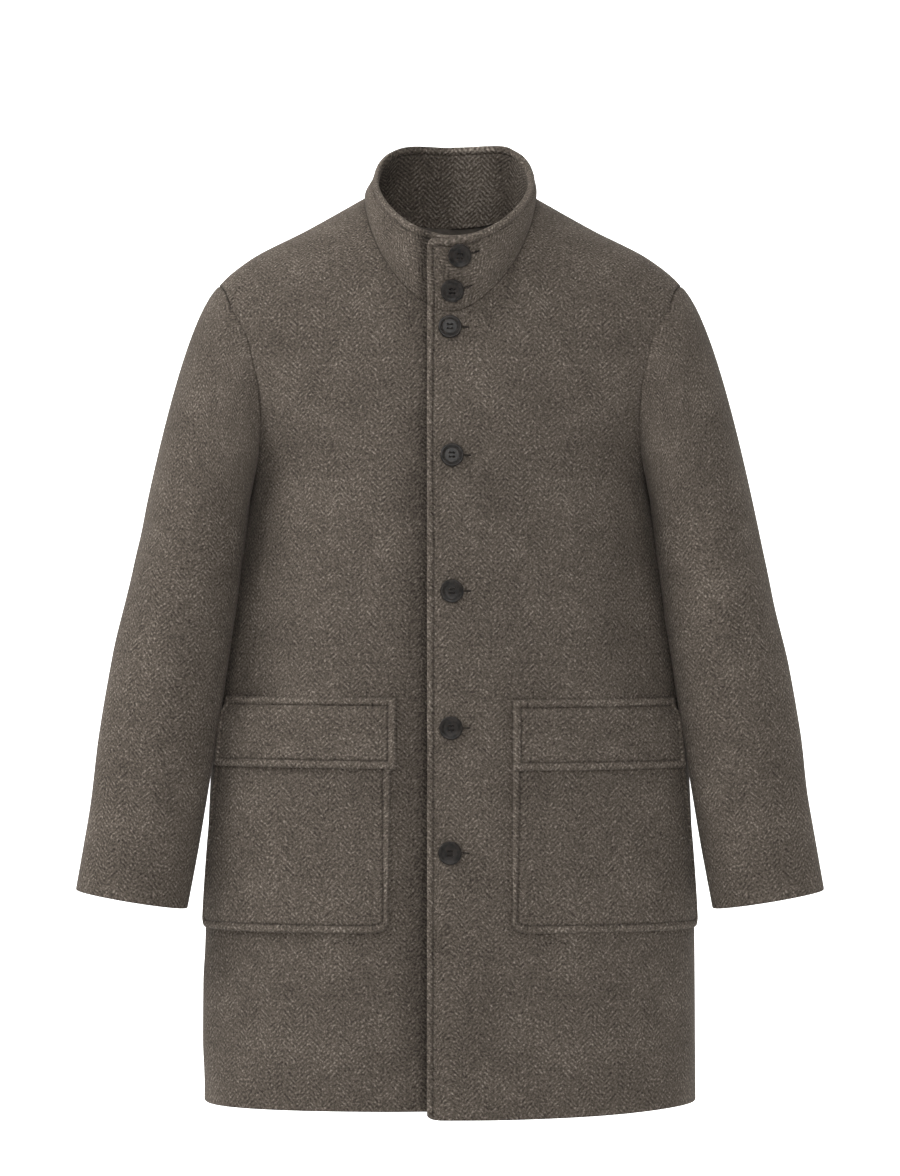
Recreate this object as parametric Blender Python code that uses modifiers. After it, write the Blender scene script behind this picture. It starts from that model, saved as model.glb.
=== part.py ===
"""Funnel-neck wool coat, filled out as if worn, with nobody in it.

The origin is at the middle of the neck, level with the highest point of the shoulders.
+Z is up, the front faces -Y, and +X is the wearer's left, where the lapped front is.
Every cloth piece is a thin wall: a grid of outer points, and the same grid moved inwards.
"""
import math

import bmesh
import bpy
import numpy as np

OBJECT_NAME = "funnel_neck_coat"
MM = 0.001

# Cloth thickness, and the gap kept at every seam, in millimetres.
WALL = 3.0
COLLAR_WALL = 2.6
FACING_WALL = 1.2
FACING_GAP = 1.6
SEAM_GAP = 0.3
PATCH_GAP = 1.0
COLLAR_SEAM_GAP = 1.8
LAP_LIFT = 4.0

# Heights on the body, in millimetres below the highest point of the shoulder.
HEM_Z = -918.0
WAIST_Z = -390.0
UNDERARM_Z = -285.0
SHOULDER_Z = -90.0
LAP_HEM_DROP = 8.0
LAP_HEM_REACH = 0.83

# Neck seam: half width at the shoulder, and its drop at the centre front and centre back.
NECK_HALF_WIDTH = 87.0
FRONT_NECK_DROP = 121.0
BACK_NECK_DROP = 21.0
FRONT_NECK_POWER = 1.18
BACK_NECK_POWER = 1.5

# The two fronts end at these x values, and the lap settles back onto the body by LAP_FADE_X.
LAP_EDGE_X = -23.0
UNDERLAP_EDGE_X = 24.0
LAP_FLAT_X = 30.0
LAP_FADE_X = 115.0

# Armholes: how far they cut into the fronts and the back, in degrees round the body.
ARMHOLE_FRONT_CUT = 40.5
ARMHOLE_BACK_CUT = 37.0
ARMHOLE_LEAN = 1.25
ARMHOLE_SQUARENESS = 0.35
COLUMN_BUNCHING = 0.6

# Sections of the body, a row for each height. roundness is the power of the oval: 2 is an ellipse.
TORSO_COLUMNS = ("z", "half_width", "front_depth", "back_depth", "centre_y", "roundness")
TORSO = np.array([
    (HEM_Z, 250.0, 128.0, 118.0, 0.0, 2.8),
    (-750.0, 249.0, 127.0, 114.0, 1.0, 2.7),
    (-620.0, 245.5, 126.0, 109.0, 3.0, 2.5),
    (-533.0, 240.0, 125.0, 107.0, 5.0, 2.25),
    (-410.0, 222.0, 124.0, 108.0, 6.0, 2.15),
    (-340.0, 209.5, 122.0, 110.0, 6.0, 2.1),
    (UNDERARM_Z, 202.5, 119.0, 112.0, 6.0, 2.1),
    (-245.0, 217.0, 113.5, 112.0, 6.5, 2.2),
    (-205.0, 236.0, 106.0, 110.0, 7.0, 2.3),
    (-160.0, 252.0, 97.0, 106.0, 8.0, 2.3),
    (-120.0, 253.0, 90.0, 101.0, 8.0, 2.3),
    (SHOULDER_Z, 236.0, 84.0, 95.0, 8.0, 2.3),
    (-63.0, 204.0, 78.0, 86.0, 8.0, 2.3),
    (-33.0, 146.0, 70.0, 74.0, 8.0, 2.3),
    (0.0, NECK_HALF_WIDTH, 60.0, 58.0, 8.0, 2.3),
])

# Sections of a sleeve below the armpit, a row for each height, from the upper arm to the cuff.
SLEEVE_COLUMNS = ("z", "centre_x", "half_width", "half_depth", "centre_y", "tilt")
SLEEVE = np.array([
    (-340.0, 262.0, 51.5, 66.0, -16.0, 3.0),
    (-410.0, 272.5, 54.0, 62.0, -32.0, 6.0),
    (-532.0, 291.0, 56.8, 56.0, -47.0, 9.0),
    (-642.0, 308.2, 57.4, 50.0, -57.0, 9.5),
    (-711.0, 320.4, 57.0, 46.0, -62.0, 9.5),
])
CAP_SWELL = {"out": (21.0, 13.0), "forward": 12.0, "down": (24.0, 6.0)}
ARMHOLE_STEPS = 10
TOP_SLEEVE_TURNS = (-108.0, 162.0)
UNDER_SLEEVE_TURNS = (162.0, 252.0)
SLEEVE_SEAM_TURN = 0.25
SHARED_NORMAL_COSINES = (0.3, 0.8)
SHARED_NORMAL_RUN = 0.2

# Collar rim, the upper edge of the funnel: an oval that is low in front and high behind.
RIM = {"centre_x": 4.0, "half_width": 79.0, "centre_y": -25.0, "half_depth": 75.0,
       "middle_z": 5.5, "rise": 51.5, "side_rise": 15.0}
COLLAR_SWELL = 3.0
COLLAR_INNER_START = 24.0

# Strip inside the back neck: half its spread in degrees, its drop below the neck seam, and its height.
FACING = {"half_turn": 24.0, "drop": 6.0, "height": 50.0}

# Patch pockets and flaps: edges towards the centre front and the side, and heights.
POCKET_COLUMNS = ("side", "inner_top_x", "inner_bottom_x", "flap_inner_x", "top_z")
POCKETS = {
    "left": dict(zip(POCKET_COLUMNS, (1, 62.0, 62.0, 62.0, -509.0))),
    "right": dict(zip(POCKET_COLUMNS, (-1, 58.0, 62.0, 53.0, -507.0))),
}
POCKET_OUTER_TURNS = (69.0, 78.0)
POCKET_BOTTOM_Z = -741.0
POCKET_CORNER = 10.0
FLAP_HEIGHT = 71.0
FLAP_STRIP = 10.0
FLAP_STEP = 22.0

# Buttons: the turned profile (radius, height), then places on the collar (x, rise) and the front (x, z).
BUTTON_PROFILE = ((0.0, 3.2), (7.0, 3.2), (8.6, 4.2), (10.6, 4.2), (12.0, 2.6), (9.5, 0.0), (0.0, 0.0))
BUTTON_STEPS = 16
COLLAR_BUTTON_PLACES = ((5.0, 0.72), (1.0, 0.27))
FRONT_BUTTON_PLACES = ((0.0, -137.0), (2.0, -266.0), (2.0, -401.0), (1.0, -537.0), (0.0, -661.0))

# Photo colours (linear), roughness and metallic value of each material.
FINISHES = {
    "wool": ((0.115, 0.095, 0.079, 1.0), 0.92, 0.0),
    "lining": ((0.030, 0.026, 0.023, 1.0), 0.55, 0.0),
    "horn": ((0.022, 0.018, 0.016, 1.0), 0.35, 0.0),
}


def column_curve(table, columns, name, at):
    """Smooth curve, with no overshoot, through one named column of a table whose first column is z."""
    order = np.argsort(table[:, 0])
    knots = table[order, 0]
    values = table[order, columns.index(name)]
    spacing = np.diff(knots)
    slopes = np.diff(values) / spacing
    product = slopes[:-1] * slopes[1:]
    total = np.where(product > 0, slopes[:-1] + slopes[1:], 1.0)
    inner = np.where(product > 0, 2.0 * product / total, 0.0)
    tangents = np.concatenate((slopes[:1], inner, slopes[-1:]))
    cell = np.clip(np.searchsorted(knots, at, side="right") - 1, 0, len(spacing) - 1)
    part = (at - knots[cell]) / spacing[cell]
    rise = values[cell + 1] - values[cell]
    start = tangents[cell] * spacing[cell]
    end = tangents[cell + 1] * spacing[cell]
    return values[cell] + part * (start + part * (3 * rise - 2 * start - end + part * (start + end - 2 * rise)))


def torso(name, z):
    return column_curve(TORSO, TORSO_COLUMNS, name, z)


def ease(value):
    """Soft step from 0 to 1."""
    value = np.clip(value, 0.0, 1.0)
    return value * value * (3.0 - 2.0 * value)


def signed_power(value, power):
    return np.sign(value) * np.abs(value) ** power


def torso_point(turn, z):
    """Point of the body's outer surface; turn is 0 at the centre front and 90 degrees at the left side."""
    angle = np.radians(turn)
    power = 2.0 / torso("roundness", z)
    forward = signed_power(np.cos(angle), power)
    depth = np.where(forward > 0, torso("front_depth", z), torso("back_depth", z))
    x = torso("half_width", z) * signed_power(np.sin(angle), power)
    return np.stack(np.broadcast_arrays(x, torso("centre_y", z) - depth * forward, z), axis=-1)


def surface_normal(surface, first, second, first_step, second_step):
    """Unit normal of a surface of two parameters."""
    along = surface(first + first_step, second) - surface(first - first_step, second)
    across = surface(first, second + second_step) - surface(first, second - second_step)
    normal = np.cross(along, across)
    return normal / np.linalg.norm(normal, axis=-1, keepdims=True)


def torso_normal(turn, z):
    return surface_normal(torso_point, turn, z, 0.05, 0.5)


def turn_at_x(x, z):
    """Turn of the front surface at a given x."""
    ratio = signed_power(np.clip(x / torso("half_width", z), -1.0, 1.0), torso("roundness", z) / 2.0)
    return np.degrees(np.arcsin(ratio))


def lap_lift(x):
    """How far the lapped front stands off the one below it."""
    return LAP_LIFT * (1.0 - ease((x - LAP_FLAT_X) / (LAP_FADE_X - LAP_FLAT_X)))


def front_point(turn, z, lapped, offset=0.0):
    """Point on a front panel, moved out by offset; turn is positive towards the panel's own side seam."""
    point = torso_point(turn, z)
    forward = lap_lift(point[..., 0:1]) * (0.0, -1.0, 0.0) if lapped else 0.0
    return point + forward + torso_normal(turn, z) * np.asarray(offset)[..., None]


def seam_turn(z):
    """Turn of a side or shoulder seam, half a gap short of 90 degrees."""
    ratio = (0.5 * SEAM_GAP / torso("front_depth", z)) ** (torso("roundness", z) / 2.0)
    return 90.0 - np.degrees(np.arcsin(ratio))


def armhole_cut(z, depth):
    """Degrees that the armhole takes from the side at a height; none outside the armhole."""
    part = np.clip((z - UNDERARM_Z) / (SHOULDER_Z - UNDERARM_Z), 0.0, 1.0)
    return depth * np.sin(np.pi * part ** ARMHOLE_LEAN).clip(0.0) ** ARMHOLE_SQUARENESS


def front_neck(turn):
    """x and z of the front neck seam; turn runs from 0 at the centre front to 90 at the shoulder."""
    angle = np.radians(turn)
    x = NECK_HALF_WIDTH * signed_power(np.sin(angle), FRONT_NECK_POWER)
    z = -FRONT_NECK_DROP * np.abs(np.cos(angle)) ** FRONT_NECK_POWER
    return x, z


def back_neck(turn):
    """x and z of the back neck seam; turn runs from 0 at the centre back to 90 at the shoulder."""
    angle = np.radians(turn)
    return NECK_HALF_WIDTH * np.sin(angle), -BACK_NECK_DROP * np.abs(np.cos(angle)) ** BACK_NECK_POWER


def neck_height(body_turn, neck_curve):
    """Height of a neck seam where it crosses a given turn of the body."""
    neck_turns = np.linspace(0.0, 90.0, 400)
    x, z = neck_curve(neck_turns)
    return np.interp(np.abs(body_turn), turn_at_x(x, z), z)


def side_heights():
    """Row heights at the side: hem to armpit, round the armhole, then up the shoulder seam."""
    skirt = np.append(np.linspace(HEM_Z, WAIST_Z, 7), (0.5 * (WAIST_Z + UNDERARM_Z), UNDERARM_Z))
    swing = (1.0 - np.cos(np.linspace(0.0, np.pi, ARMHOLE_STEPS + 1))) / 2.0
    armhole = UNDERARM_Z + (SHOULDER_Z - UNDERARM_Z) * swing
    shoulder = np.linspace(SHOULDER_Z, 0.0, 5)
    return np.concatenate((skirt, armhole[1:], shoulder[1:]))


def panel_grid(columns, edge_turn, armhole_depth, neck_curve, hem_drop):
    """Turns and heights of a panel; columns run from 0 at its centre edge to 1 at its side seam."""
    side_z = side_heights()[:, None]
    share = (side_z - HEM_Z) / -HEM_Z
    outer_turn = np.minimum(seam_turn(side_z), 90.0 - armhole_cut(side_z, armhole_depth))
    top_turn = edge_turn(-FRONT_NECK_DROP) + (seam_turn(0.0) - edge_turn(-FRONT_NECK_DROP)) * columns
    hem = HEM_Z - hem_drop * (1.0 - ease(columns / LAP_HEM_REACH))
    z = hem + (neck_height(top_turn, neck_curve) - hem) * share
    inner_turn = edge_turn(z[:, :1])
    return inner_turn + (outer_turn - inner_turn) * columns, z


def panel_columns(count):
    """Column shares across a panel, closer together at the centre edge and at the side."""
    even = np.linspace(0.0, 1.0, count)[None, :]
    return even - COLUMN_BUNCHING * np.sin(2.0 * np.pi * even) / (2.0 * np.pi)


def mirrored(points):
    return points * (-1.0, 1.0, 1.0)


def new_material(name, finish):
    colour, roughness, metallic = FINISHES[finish]
    material = bpy.data.materials.new(name)
    material.use_nodes = True
    shader = material.node_tree.nodes["Principled BSDF"]
    shader.inputs["Base Color"].default_value = colour
    shader.inputs["Roughness"].default_value = roughness
    shader.inputs["Metallic"].default_value = metallic
    material.diffuse_color = colour
    return material


def add_wall(name, outer, inner, collection, finish="wool"):
    """Closed thin wall between two grids of points, given in millimetres."""
    rows, columns = outer.shape[:2]
    form = bmesh.new()
    for layer in (outer, inner):
        grid = bmesh.ops.create_grid(form, x_segments=columns - 1, y_segments=rows - 1, size=1.0)
        for vertex, point in zip(grid["verts"], layer.reshape(-1, 3)):
            vertex.co = point * MM
    rims = [edge for edge in form.edges if edge.is_boundary]
    bmesh.ops.bridge_loops(form, edges=rims)
    bmesh.ops.recalc_face_normals(form, faces=form.faces)
    mesh = bpy.data.meshes.new(name)
    form.to_mesh(mesh)
    form.free()
    mesh.shade_smooth()
    mesh.set_sharp_from_angle(angle=math.radians(40.0))
    mesh.materials.append(new_material(name + "_" + finish, finish))
    piece = bpy.data.objects.new(name, mesh)
    collection.objects.link(piece)


def add_fronts(collection):
    columns = panel_columns(18)
    edges = {"front_left": (LAP_EDGE_X, True, LAP_HEM_DROP), "front_right": (-UNDERLAP_EDGE_X, False, 0.0)}
    for name, (edge_x, lapped, drop) in edges.items():
        turns, heights = panel_grid(columns, lambda z: turn_at_x(edge_x, z), ARMHOLE_FRONT_CUT,
                                    front_neck, drop)
        outer = front_point(turns, heights, lapped)
        inner = front_point(turns, heights, lapped, -WALL)
        if not lapped:
            outer, inner = mirrored(outer), mirrored(inner)
        add_wall(name, outer, inner, collection)


def add_back(collection):
    half = panel_columns(14)
    turns, heights = panel_grid(half, lambda z: 0.0 * z, ARMHOLE_BACK_CUT, back_neck, 0.0)
    turns = np.concatenate((180.0 - turns[:, ::-1], 180.0 + turns[:, 1:]), axis=1)
    heights = np.concatenate((heights[:, ::-1], heights[:, 1:]), axis=1)
    outer = torso_point(turns, heights)
    add_wall("back", outer, outer - torso_normal(turns, heights) * WALL, collection)


def armhole_ring(turn):
    """Turn and height on the body of the armhole seam; turn is 0 at the shoulder, 90 in front, 270 behind."""
    angle = np.radians(turn)
    z = UNDERARM_Z + (SHOULDER_Z - UNDERARM_Z) * (1.0 + np.cos(angle)) / 2.0
    in_front = np.sin(angle) >= 0
    front = 90.0 - armhole_cut(z, ARMHOLE_FRONT_CUT)
    back = 90.0 + armhole_cut(z, ARMHOLE_BACK_CUT)
    return np.where(in_front, front, back), z


def arm_ring(turn, z):
    """Oval section of the sleeve at a height, tipped so that it stands square to the arm."""
    angle = np.radians(turn)
    tilt = np.radians(column_curve(SLEEVE, SLEEVE_COLUMNS, "tilt", z))
    out = column_curve(SLEEVE, SLEEVE_COLUMNS, "half_width", z) * np.cos(angle)
    forward = column_curve(SLEEVE, SLEEVE_COLUMNS, "half_depth", z) * np.sin(angle)
    x = column_curve(SLEEVE, SLEEVE_COLUMNS, "centre_x", z) + out * np.cos(tilt)
    y = column_curve(SLEEVE, SLEEVE_COLUMNS, "centre_y", z) - forward
    return np.stack(np.broadcast_arrays(x, y, z + out * np.sin(tilt)), axis=-1)


def sleeve_point(turn, run):
    """Outer surface of the left sleeve; run is 0 at the armhole, 1 at the upper arm and 2 at the cuff."""
    turn, run = np.broadcast_arrays(turn, run)
    angle = np.radians(turn)
    start = torso_point(*armhole_ring(turn))
    swell = np.stack((CAP_SWELL["out"][0] + CAP_SWELL["out"][1] * np.cos(angle),
                      -CAP_SWELL["forward"] * np.sin(angle),
                      -CAP_SWELL["down"][0] - CAP_SWELL["down"][1] * np.cos(angle)), axis=-1)
    leave = swell / np.linalg.norm(swell, axis=-1, keepdims=True) + (1.0, 0.0, 0.0)
    start = start + SEAM_GAP * leave
    bend = start + swell
    upper_z, cuff_z = SLEEVE[0, 0], SLEEVE[-1, 0]
    cap = np.clip(run, -0.1, 1.0)[..., None]
    upper_arm = arm_ring(turn, np.full(run.shape, upper_z))
    above = (1 - cap) ** 2 * start + 2 * cap * (1 - cap) * bend + cap ** 2 * upper_arm
    below = arm_ring(turn, upper_z + (cuff_z - upper_z) * np.maximum(run - 1.0, 0.0))
    return np.where(run[..., None] < 1.0, above, below)


def sleeve_normal(turn, run):
    """Outward normal; at the top of the armhole it is the body's own, so the walls meet edge to edge."""
    normal = surface_normal(sleeve_point, turn, run, 0.5, 0.01)
    low, high = SHARED_NORMAL_COSINES
    at_top = np.clip((np.cos(np.radians(turn)) - low) / (high - low), 0.0, 1.0)
    shared = at_top * (1.0 - ease(run / SHARED_NORMAL_RUN))
    body = torso_normal(*armhole_ring(turn))
    mixed = normal * (1.0 - shared)[..., None] + body * shared[..., None]
    return mixed / np.linalg.norm(mixed, axis=-1, keepdims=True)


def add_sleeves(collection):
    cap = np.array((0.0, 0.12, 0.3, 0.5, 0.75))
    arm = np.linspace(1.0, 2.0, 8)
    runs = np.concatenate((cap, arm))[:, None]
    step = 180.0 / ARMHOLE_STEPS
    for part, (first, last) in (("top", TOP_SLEEVE_TURNS), ("under", UNDER_SLEEVE_TURNS)):
        turns = np.arange(first, last + 0.5 * step, step)[None, :]
        turns[:, 0] += SLEEVE_SEAM_TURN
        turns[:, -1] -= SLEEVE_SEAM_TURN
        turns, rows = np.broadcast_arrays(turns, runs)
        outer = sleeve_point(turns, rows)
        inner = outer - sleeve_normal(turns, rows) * WALL
        add_wall("sleeve_left_" + part, outer, inner, collection)
        add_wall("sleeve_right_" + part, mirrored(outer), mirrored(inner), collection)


def neck_ring(turn):
    """Neck seam all the way round; turn is 0 at the centre front and 90 at the left shoulder."""
    turn = np.mod(turn, 360.0)
    from_front = np.where(turn > 180.0, 360.0 - turn, turn)
    x_front, z_front = front_neck(np.minimum(from_front, 90.0))
    x_back, z_back = back_neck(np.minimum(180.0 - from_front, 90.0))
    in_front = from_front < 90.0
    x = np.where(in_front, x_front, x_back)
    z = np.where(in_front, z_front, z_back)
    body_turn = np.where(in_front, turn_at_x(x, z), 180.0 - turn_at_x(x, z))
    body_turn = np.where(turn > 180.0, 360.0 - body_turn, body_turn)
    return torso_point(body_turn, z)


def rim_ring(turn):
    angle = np.radians(turn)
    x = RIM["centre_x"] + RIM["half_width"] * np.sin(angle)
    y = RIM["centre_y"] - RIM["half_depth"] * np.cos(angle)
    z = RIM["middle_z"] - RIM["rise"] * np.cos(angle) + RIM["side_rise"] * np.sin(angle) ** 2
    return np.stack((x, y, z), axis=-1)


def collar_base(turn, rise):
    """Funnel from the neck seam (rise 0) to the rim (rise 1), before the lap is lifted."""
    turn, rise = np.broadcast_arrays(turn, rise)
    share = rise[..., None]
    seam = neck_ring(turn) + (0.0, 0.0, COLLAR_SEAM_GAP)
    straight = seam * (1.0 - share) + rim_ring(turn) * share
    outwards = np.stack((np.sin(np.radians(turn)), -np.cos(np.radians(turn)), 0.0 * turn), axis=-1)
    return straight + outwards * COLLAR_SWELL * 4.0 * share * (1.0 - share)


def collar_point(turn, rise, offset=0.0):
    """Point on the funnel, lifted where its left end laps over, and moved out by offset."""
    turn, rise = np.broadcast_arrays(turn, rise)
    normal = surface_normal(collar_base, turn, rise, 0.5, 0.01)
    forward = lap_lift(neck_ring(turn)[..., 0:1]) * (0.0, -1.0, 0.0)
    forward = np.where((turn < 180.0)[..., None], forward, 0.0)
    return collar_base(turn, rise) + forward + normal * np.asarray(offset)[..., None]


def lap_turn(x):
    """Turn of the neck seam at an x near the centre front."""
    return math.degrees(math.asin((abs(x) / NECK_HALF_WIDTH) ** (1.0 / FRONT_NECK_POWER))) * math.copysign(1, x)


def collar_turns(count):
    """Turns from the lapped end round to the other, at even lengths along the neck seam."""
    fine = np.linspace(lap_turn(LAP_EDGE_X), 360.0 + lap_turn(UNDERLAP_EDGE_X), 2000)
    steps = np.linalg.norm(np.diff(neck_ring(fine), axis=0), axis=1)
    length = np.append(0.0, np.cumsum(steps))
    return np.interp(np.linspace(0.0, length[-1], count), length, fine)[None, :]


def add_collar(collection):
    rises = np.linspace(0.0, 1.0, 6)[:, None]
    outer_turns = collar_turns(49)
    add_wall("collar_outer", collar_point(outer_turns, rises), collar_point(outer_turns, rises, -COLLAR_WALL),
             collection)
    inner_turns = outer_turns[:, outer_turns[0] > lap_turn(COLLAR_INNER_START)]
    skin = -COLLAR_WALL - SEAM_GAP
    add_wall("collar_inner", collar_point(inner_turns, rises, skin),
             collar_point(inner_turns, rises, skin - COLLAR_WALL), collection)


def add_neck_facing(collection):
    """Smooth strip inside the back, just below the inner collar."""
    turns = 180.0 + np.linspace(-FACING["half_turn"], FACING["half_turn"], 13)[None, :]
    top = neck_height(180.0 - turns, back_neck) - FACING["drop"]
    heights = top + np.linspace(-FACING["height"], 0.0, 4)[:, None]
    turns = np.broadcast_to(turns, heights.shape)
    skin = torso_point(turns, heights) - torso_normal(turns, heights) * (WALL + FACING_GAP)
    add_wall("neck_facing", skin, skin - torso_normal(turns, heights) * FACING_WALL, collection, "lining")


def patch_columns(count):
    """Column shares across a pocket, close together at its two rounded corners."""
    middle = np.linspace(0.06, 0.94, count)
    return np.concatenate(((0.0, 0.012), middle, (0.988, 1.0)))


def add_pocket(name, sizes, collection):
    """Patch pocket and its flap, both made from the front panel's points moved out."""
    lapped = sizes["side"] > 0
    across = patch_columns(11)[None, :]
    width = sizes["inner_bottom_x"] - torso("half_width", POCKET_BOTTOM_Z)
    from_edge = np.minimum(across, 1.0 - across) * abs(width)
    round_off = 1.0 - np.clip(from_edge / POCKET_CORNER, 0.0, 1.0)
    bottom = POCKET_BOTTOM_Z + POCKET_CORNER * (1.0 - np.sqrt(1.0 - round_off ** 2))
    patch_top = sizes["top_z"] - FLAP_STEP
    heights = bottom + (patch_top - bottom) * np.array((0.0, 0.05, 0.3, 0.55, 0.8, 1.0))[:, None]
    down = (patch_top - heights) / (patch_top - POCKET_BOTTOM_Z)
    inner_x = sizes["inner_top_x"] + (sizes["inner_bottom_x"] - sizes["inner_top_x"]) * down
    inner_turn = turn_at_x(inner_x, heights)
    outer_turn = POCKET_OUTER_TURNS[0] + (POCKET_OUTER_TURNS[1] - POCKET_OUTER_TURNS[0]) * down
    turns = inner_turn + (outer_turn - inner_turn) * across
    layers = [front_point(turns, heights, lapped, offset) for offset in (PATCH_GAP + WALL, PATCH_GAP)]
    add_wall("pocket_" + name, *[place(layer, sizes["side"]) for layer in layers], collection)

    drops = np.array((0.0, FLAP_STRIP, FLAP_STEP, 0.5 * (FLAP_STEP + FLAP_HEIGHT), FLAP_HEIGHT))[:, None]
    heights = np.broadcast_to(sizes["top_z"] - drops, (len(drops), across.shape[1]))
    seat = PATCH_GAP + (WALL + PATCH_GAP) * ease((drops - 0.3 * FLAP_STEP) / (0.6 * FLAP_STEP))
    inner_turn = turn_at_x(sizes["flap_inner_x"], heights)
    turns = inner_turn + (POCKET_OUTER_TURNS[0] - inner_turn) * across
    layers = [front_point(turns, heights, lapped, seat + extra) for extra in (WALL, 0.0)]
    add_wall("flap_" + name, *[place(layer, sizes["side"]) for layer in layers], collection)


def place(points, side):
    return points if side > 0 else mirrored(points)


def button_mesh():
    """Turned button with a raised rim; its back is at z 0."""
    mesh = bpy.data.meshes.new("button_profile")
    points = [(radius * MM, 0.0, height * MM) for radius, height in BUTTON_PROFILE]
    mesh.from_pydata(points, [(index, index + 1) for index in range(len(points) - 1)], [])
    return mesh


def add_button(name, mesh, seat, normal, collection):
    """Button standing on a seat point, its axis along the cloth's normal."""
    button = bpy.data.objects.new(name, mesh.copy())
    button.data.materials.append(new_material(name + "_horn", "horn"))
    collection.objects.link(button)
    screw = button.modifiers.new("turned", "SCREW")
    screw.steps = BUTTON_STEPS
    screw.render_steps = BUTTON_STEPS
    screw.use_merge_vertices = True
    screw.merge_threshold = 0.00001
    screw.use_smooth_shade = True
    tip = math.atan2(math.hypot(normal[0], normal[1]), normal[2])
    button.rotation_euler = (0.0, tip, math.atan2(normal[1], normal[0]))
    button.location = (np.asarray(seat) + np.asarray(normal) * SEAM_GAP) * MM


def add_buttons(collection):
    mesh = button_mesh()
    number = 0
    for x, rise in COLLAR_BUTTON_PLACES:
        number += 1
        turn = np.array(lap_turn(x))
        seat = collar_point(turn, np.array(rise))
        normal = surface_normal(collar_base, turn, np.array(rise), 0.5, 0.01)
        add_button(f"button_{number}", mesh, seat, normal, collection)
    for x, z in FRONT_BUTTON_PLACES:
        number += 1
        turn = turn_at_x(x, np.array(z))
        add_button(f"button_{number}", mesh, front_point(turn, np.array(z), True),
                   torso_normal(turn, np.array(z)), collection)


def build():
    for item in list(bpy.data.objects):
        bpy.data.objects.remove(item, do_unlink=True)
    collection = bpy.data.collections.new(OBJECT_NAME)
    bpy.context.scene.collection.children.link(collection)
    add_fronts(collection)
    add_back(collection)
    add_sleeves(collection)
    add_collar(collection)
    add_neck_facing(collection)
    for name, sizes in POCKETS.items():
        add_pocket(name, sizes, collection)
    add_buttons(collection)


build()
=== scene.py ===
# %% [markdown]
# This lesson dresses the solid model of a funnel-neck wool coat for a studio picture.
# The solid model has the right shape and size, but its cloth is bare and flat.
# We load it first.

import math

import bmesh
import bpy
import numpy as np
from mathutils import Matrix


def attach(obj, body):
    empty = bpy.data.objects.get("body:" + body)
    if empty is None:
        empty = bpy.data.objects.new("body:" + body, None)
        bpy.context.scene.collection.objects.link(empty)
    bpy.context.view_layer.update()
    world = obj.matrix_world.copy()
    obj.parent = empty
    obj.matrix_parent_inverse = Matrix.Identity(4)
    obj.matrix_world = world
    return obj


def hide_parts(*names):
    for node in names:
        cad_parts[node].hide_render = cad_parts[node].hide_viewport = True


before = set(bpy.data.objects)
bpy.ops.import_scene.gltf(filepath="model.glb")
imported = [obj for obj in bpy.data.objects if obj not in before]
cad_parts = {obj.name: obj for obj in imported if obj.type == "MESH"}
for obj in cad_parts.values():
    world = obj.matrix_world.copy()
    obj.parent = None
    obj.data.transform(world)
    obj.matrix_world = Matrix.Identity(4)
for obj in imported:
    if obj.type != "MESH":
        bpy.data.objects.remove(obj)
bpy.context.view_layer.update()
MM = 0.001

# %% [markdown]
# A coat is cut from flat cloth, and worn cloth takes the shape of a body.
# We describe that shape with the same few sections as the solid model: a row of numbers for each height.
# A smooth curve through each column gives the body at any height, so the cloth can be as fine as we like.

# %% The form of the body
HEM_Z, UNDERARM_Z, SHOULDER_Z = -918.0, -285.0, -90.0
NECK_HALF_WIDTH, FRONT_NECK_DROP, BACK_NECK_DROP = 87.0, 121.0, 21.0
FRONT_NECK_POWER, BACK_NECK_POWER = 1.18, 1.5
TORSO_COLUMNS = ("z", "half_width", "front_depth", "back_depth", "centre_y", "roundness")
TORSO = np.array([
    (HEM_Z, 250.0, 128.0, 118.0, 0.0, 2.8),
    (-750.0, 249.0, 127.0, 114.0, 1.0, 2.7),
    (-620.0, 245.5, 126.0, 109.0, 3.0, 2.5),
    (-533.0, 240.0, 125.0, 107.0, 5.0, 2.25),
    (-410.0, 222.0, 124.0, 108.0, 6.0, 2.15),
    (-340.0, 209.5, 122.0, 110.0, 6.0, 2.1),
    (UNDERARM_Z, 202.5, 119.0, 112.0, 6.0, 2.1),
    (-245.0, 217.0, 113.5, 112.0, 6.5, 2.2),
    (-205.0, 236.0, 106.0, 110.0, 7.0, 2.3),
    (-160.0, 252.0, 97.0, 106.0, 8.0, 2.3),
    (-120.0, 253.0, 90.0, 101.0, 8.0, 2.3),
    (SHOULDER_Z, 236.0, 84.0, 95.0, 8.0, 2.3),
    (-63.0, 204.0, 78.0, 86.0, 8.0, 2.3),
    (-33.0, 146.0, 70.0, 74.0, 8.0, 2.3),
    (0.0, NECK_HALF_WIDTH, 60.0, 58.0, 8.0, 2.3),
])


def column_curve(table, columns, name, at):
    """Smooth curve, with no overshoot, through one named column of a table whose first column is z."""
    order = np.argsort(table[:, 0])
    knots = table[order, 0]
    values = table[order, columns.index(name)]
    spacing = np.diff(knots)
    slopes = np.diff(values) / spacing
    product = slopes[:-1] * slopes[1:]
    total = np.where(product > 0, slopes[:-1] + slopes[1:], 1.0)
    inner = np.where(product > 0, 2.0 * product / total, 0.0)
    tangents = np.concatenate((slopes[:1], inner, slopes[-1:]))
    cell = np.clip(np.searchsorted(knots, at, side="right") - 1, 0, len(spacing) - 1)
    part = (at - knots[cell]) / spacing[cell]
    rise = values[cell + 1] - values[cell]
    start = tangents[cell] * spacing[cell]
    end = tangents[cell + 1] * spacing[cell]
    bend = 3 * rise - 2 * start - end
    return values[cell] + part * (start + part * (bend + part * (start + end - 2 * rise)))


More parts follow.
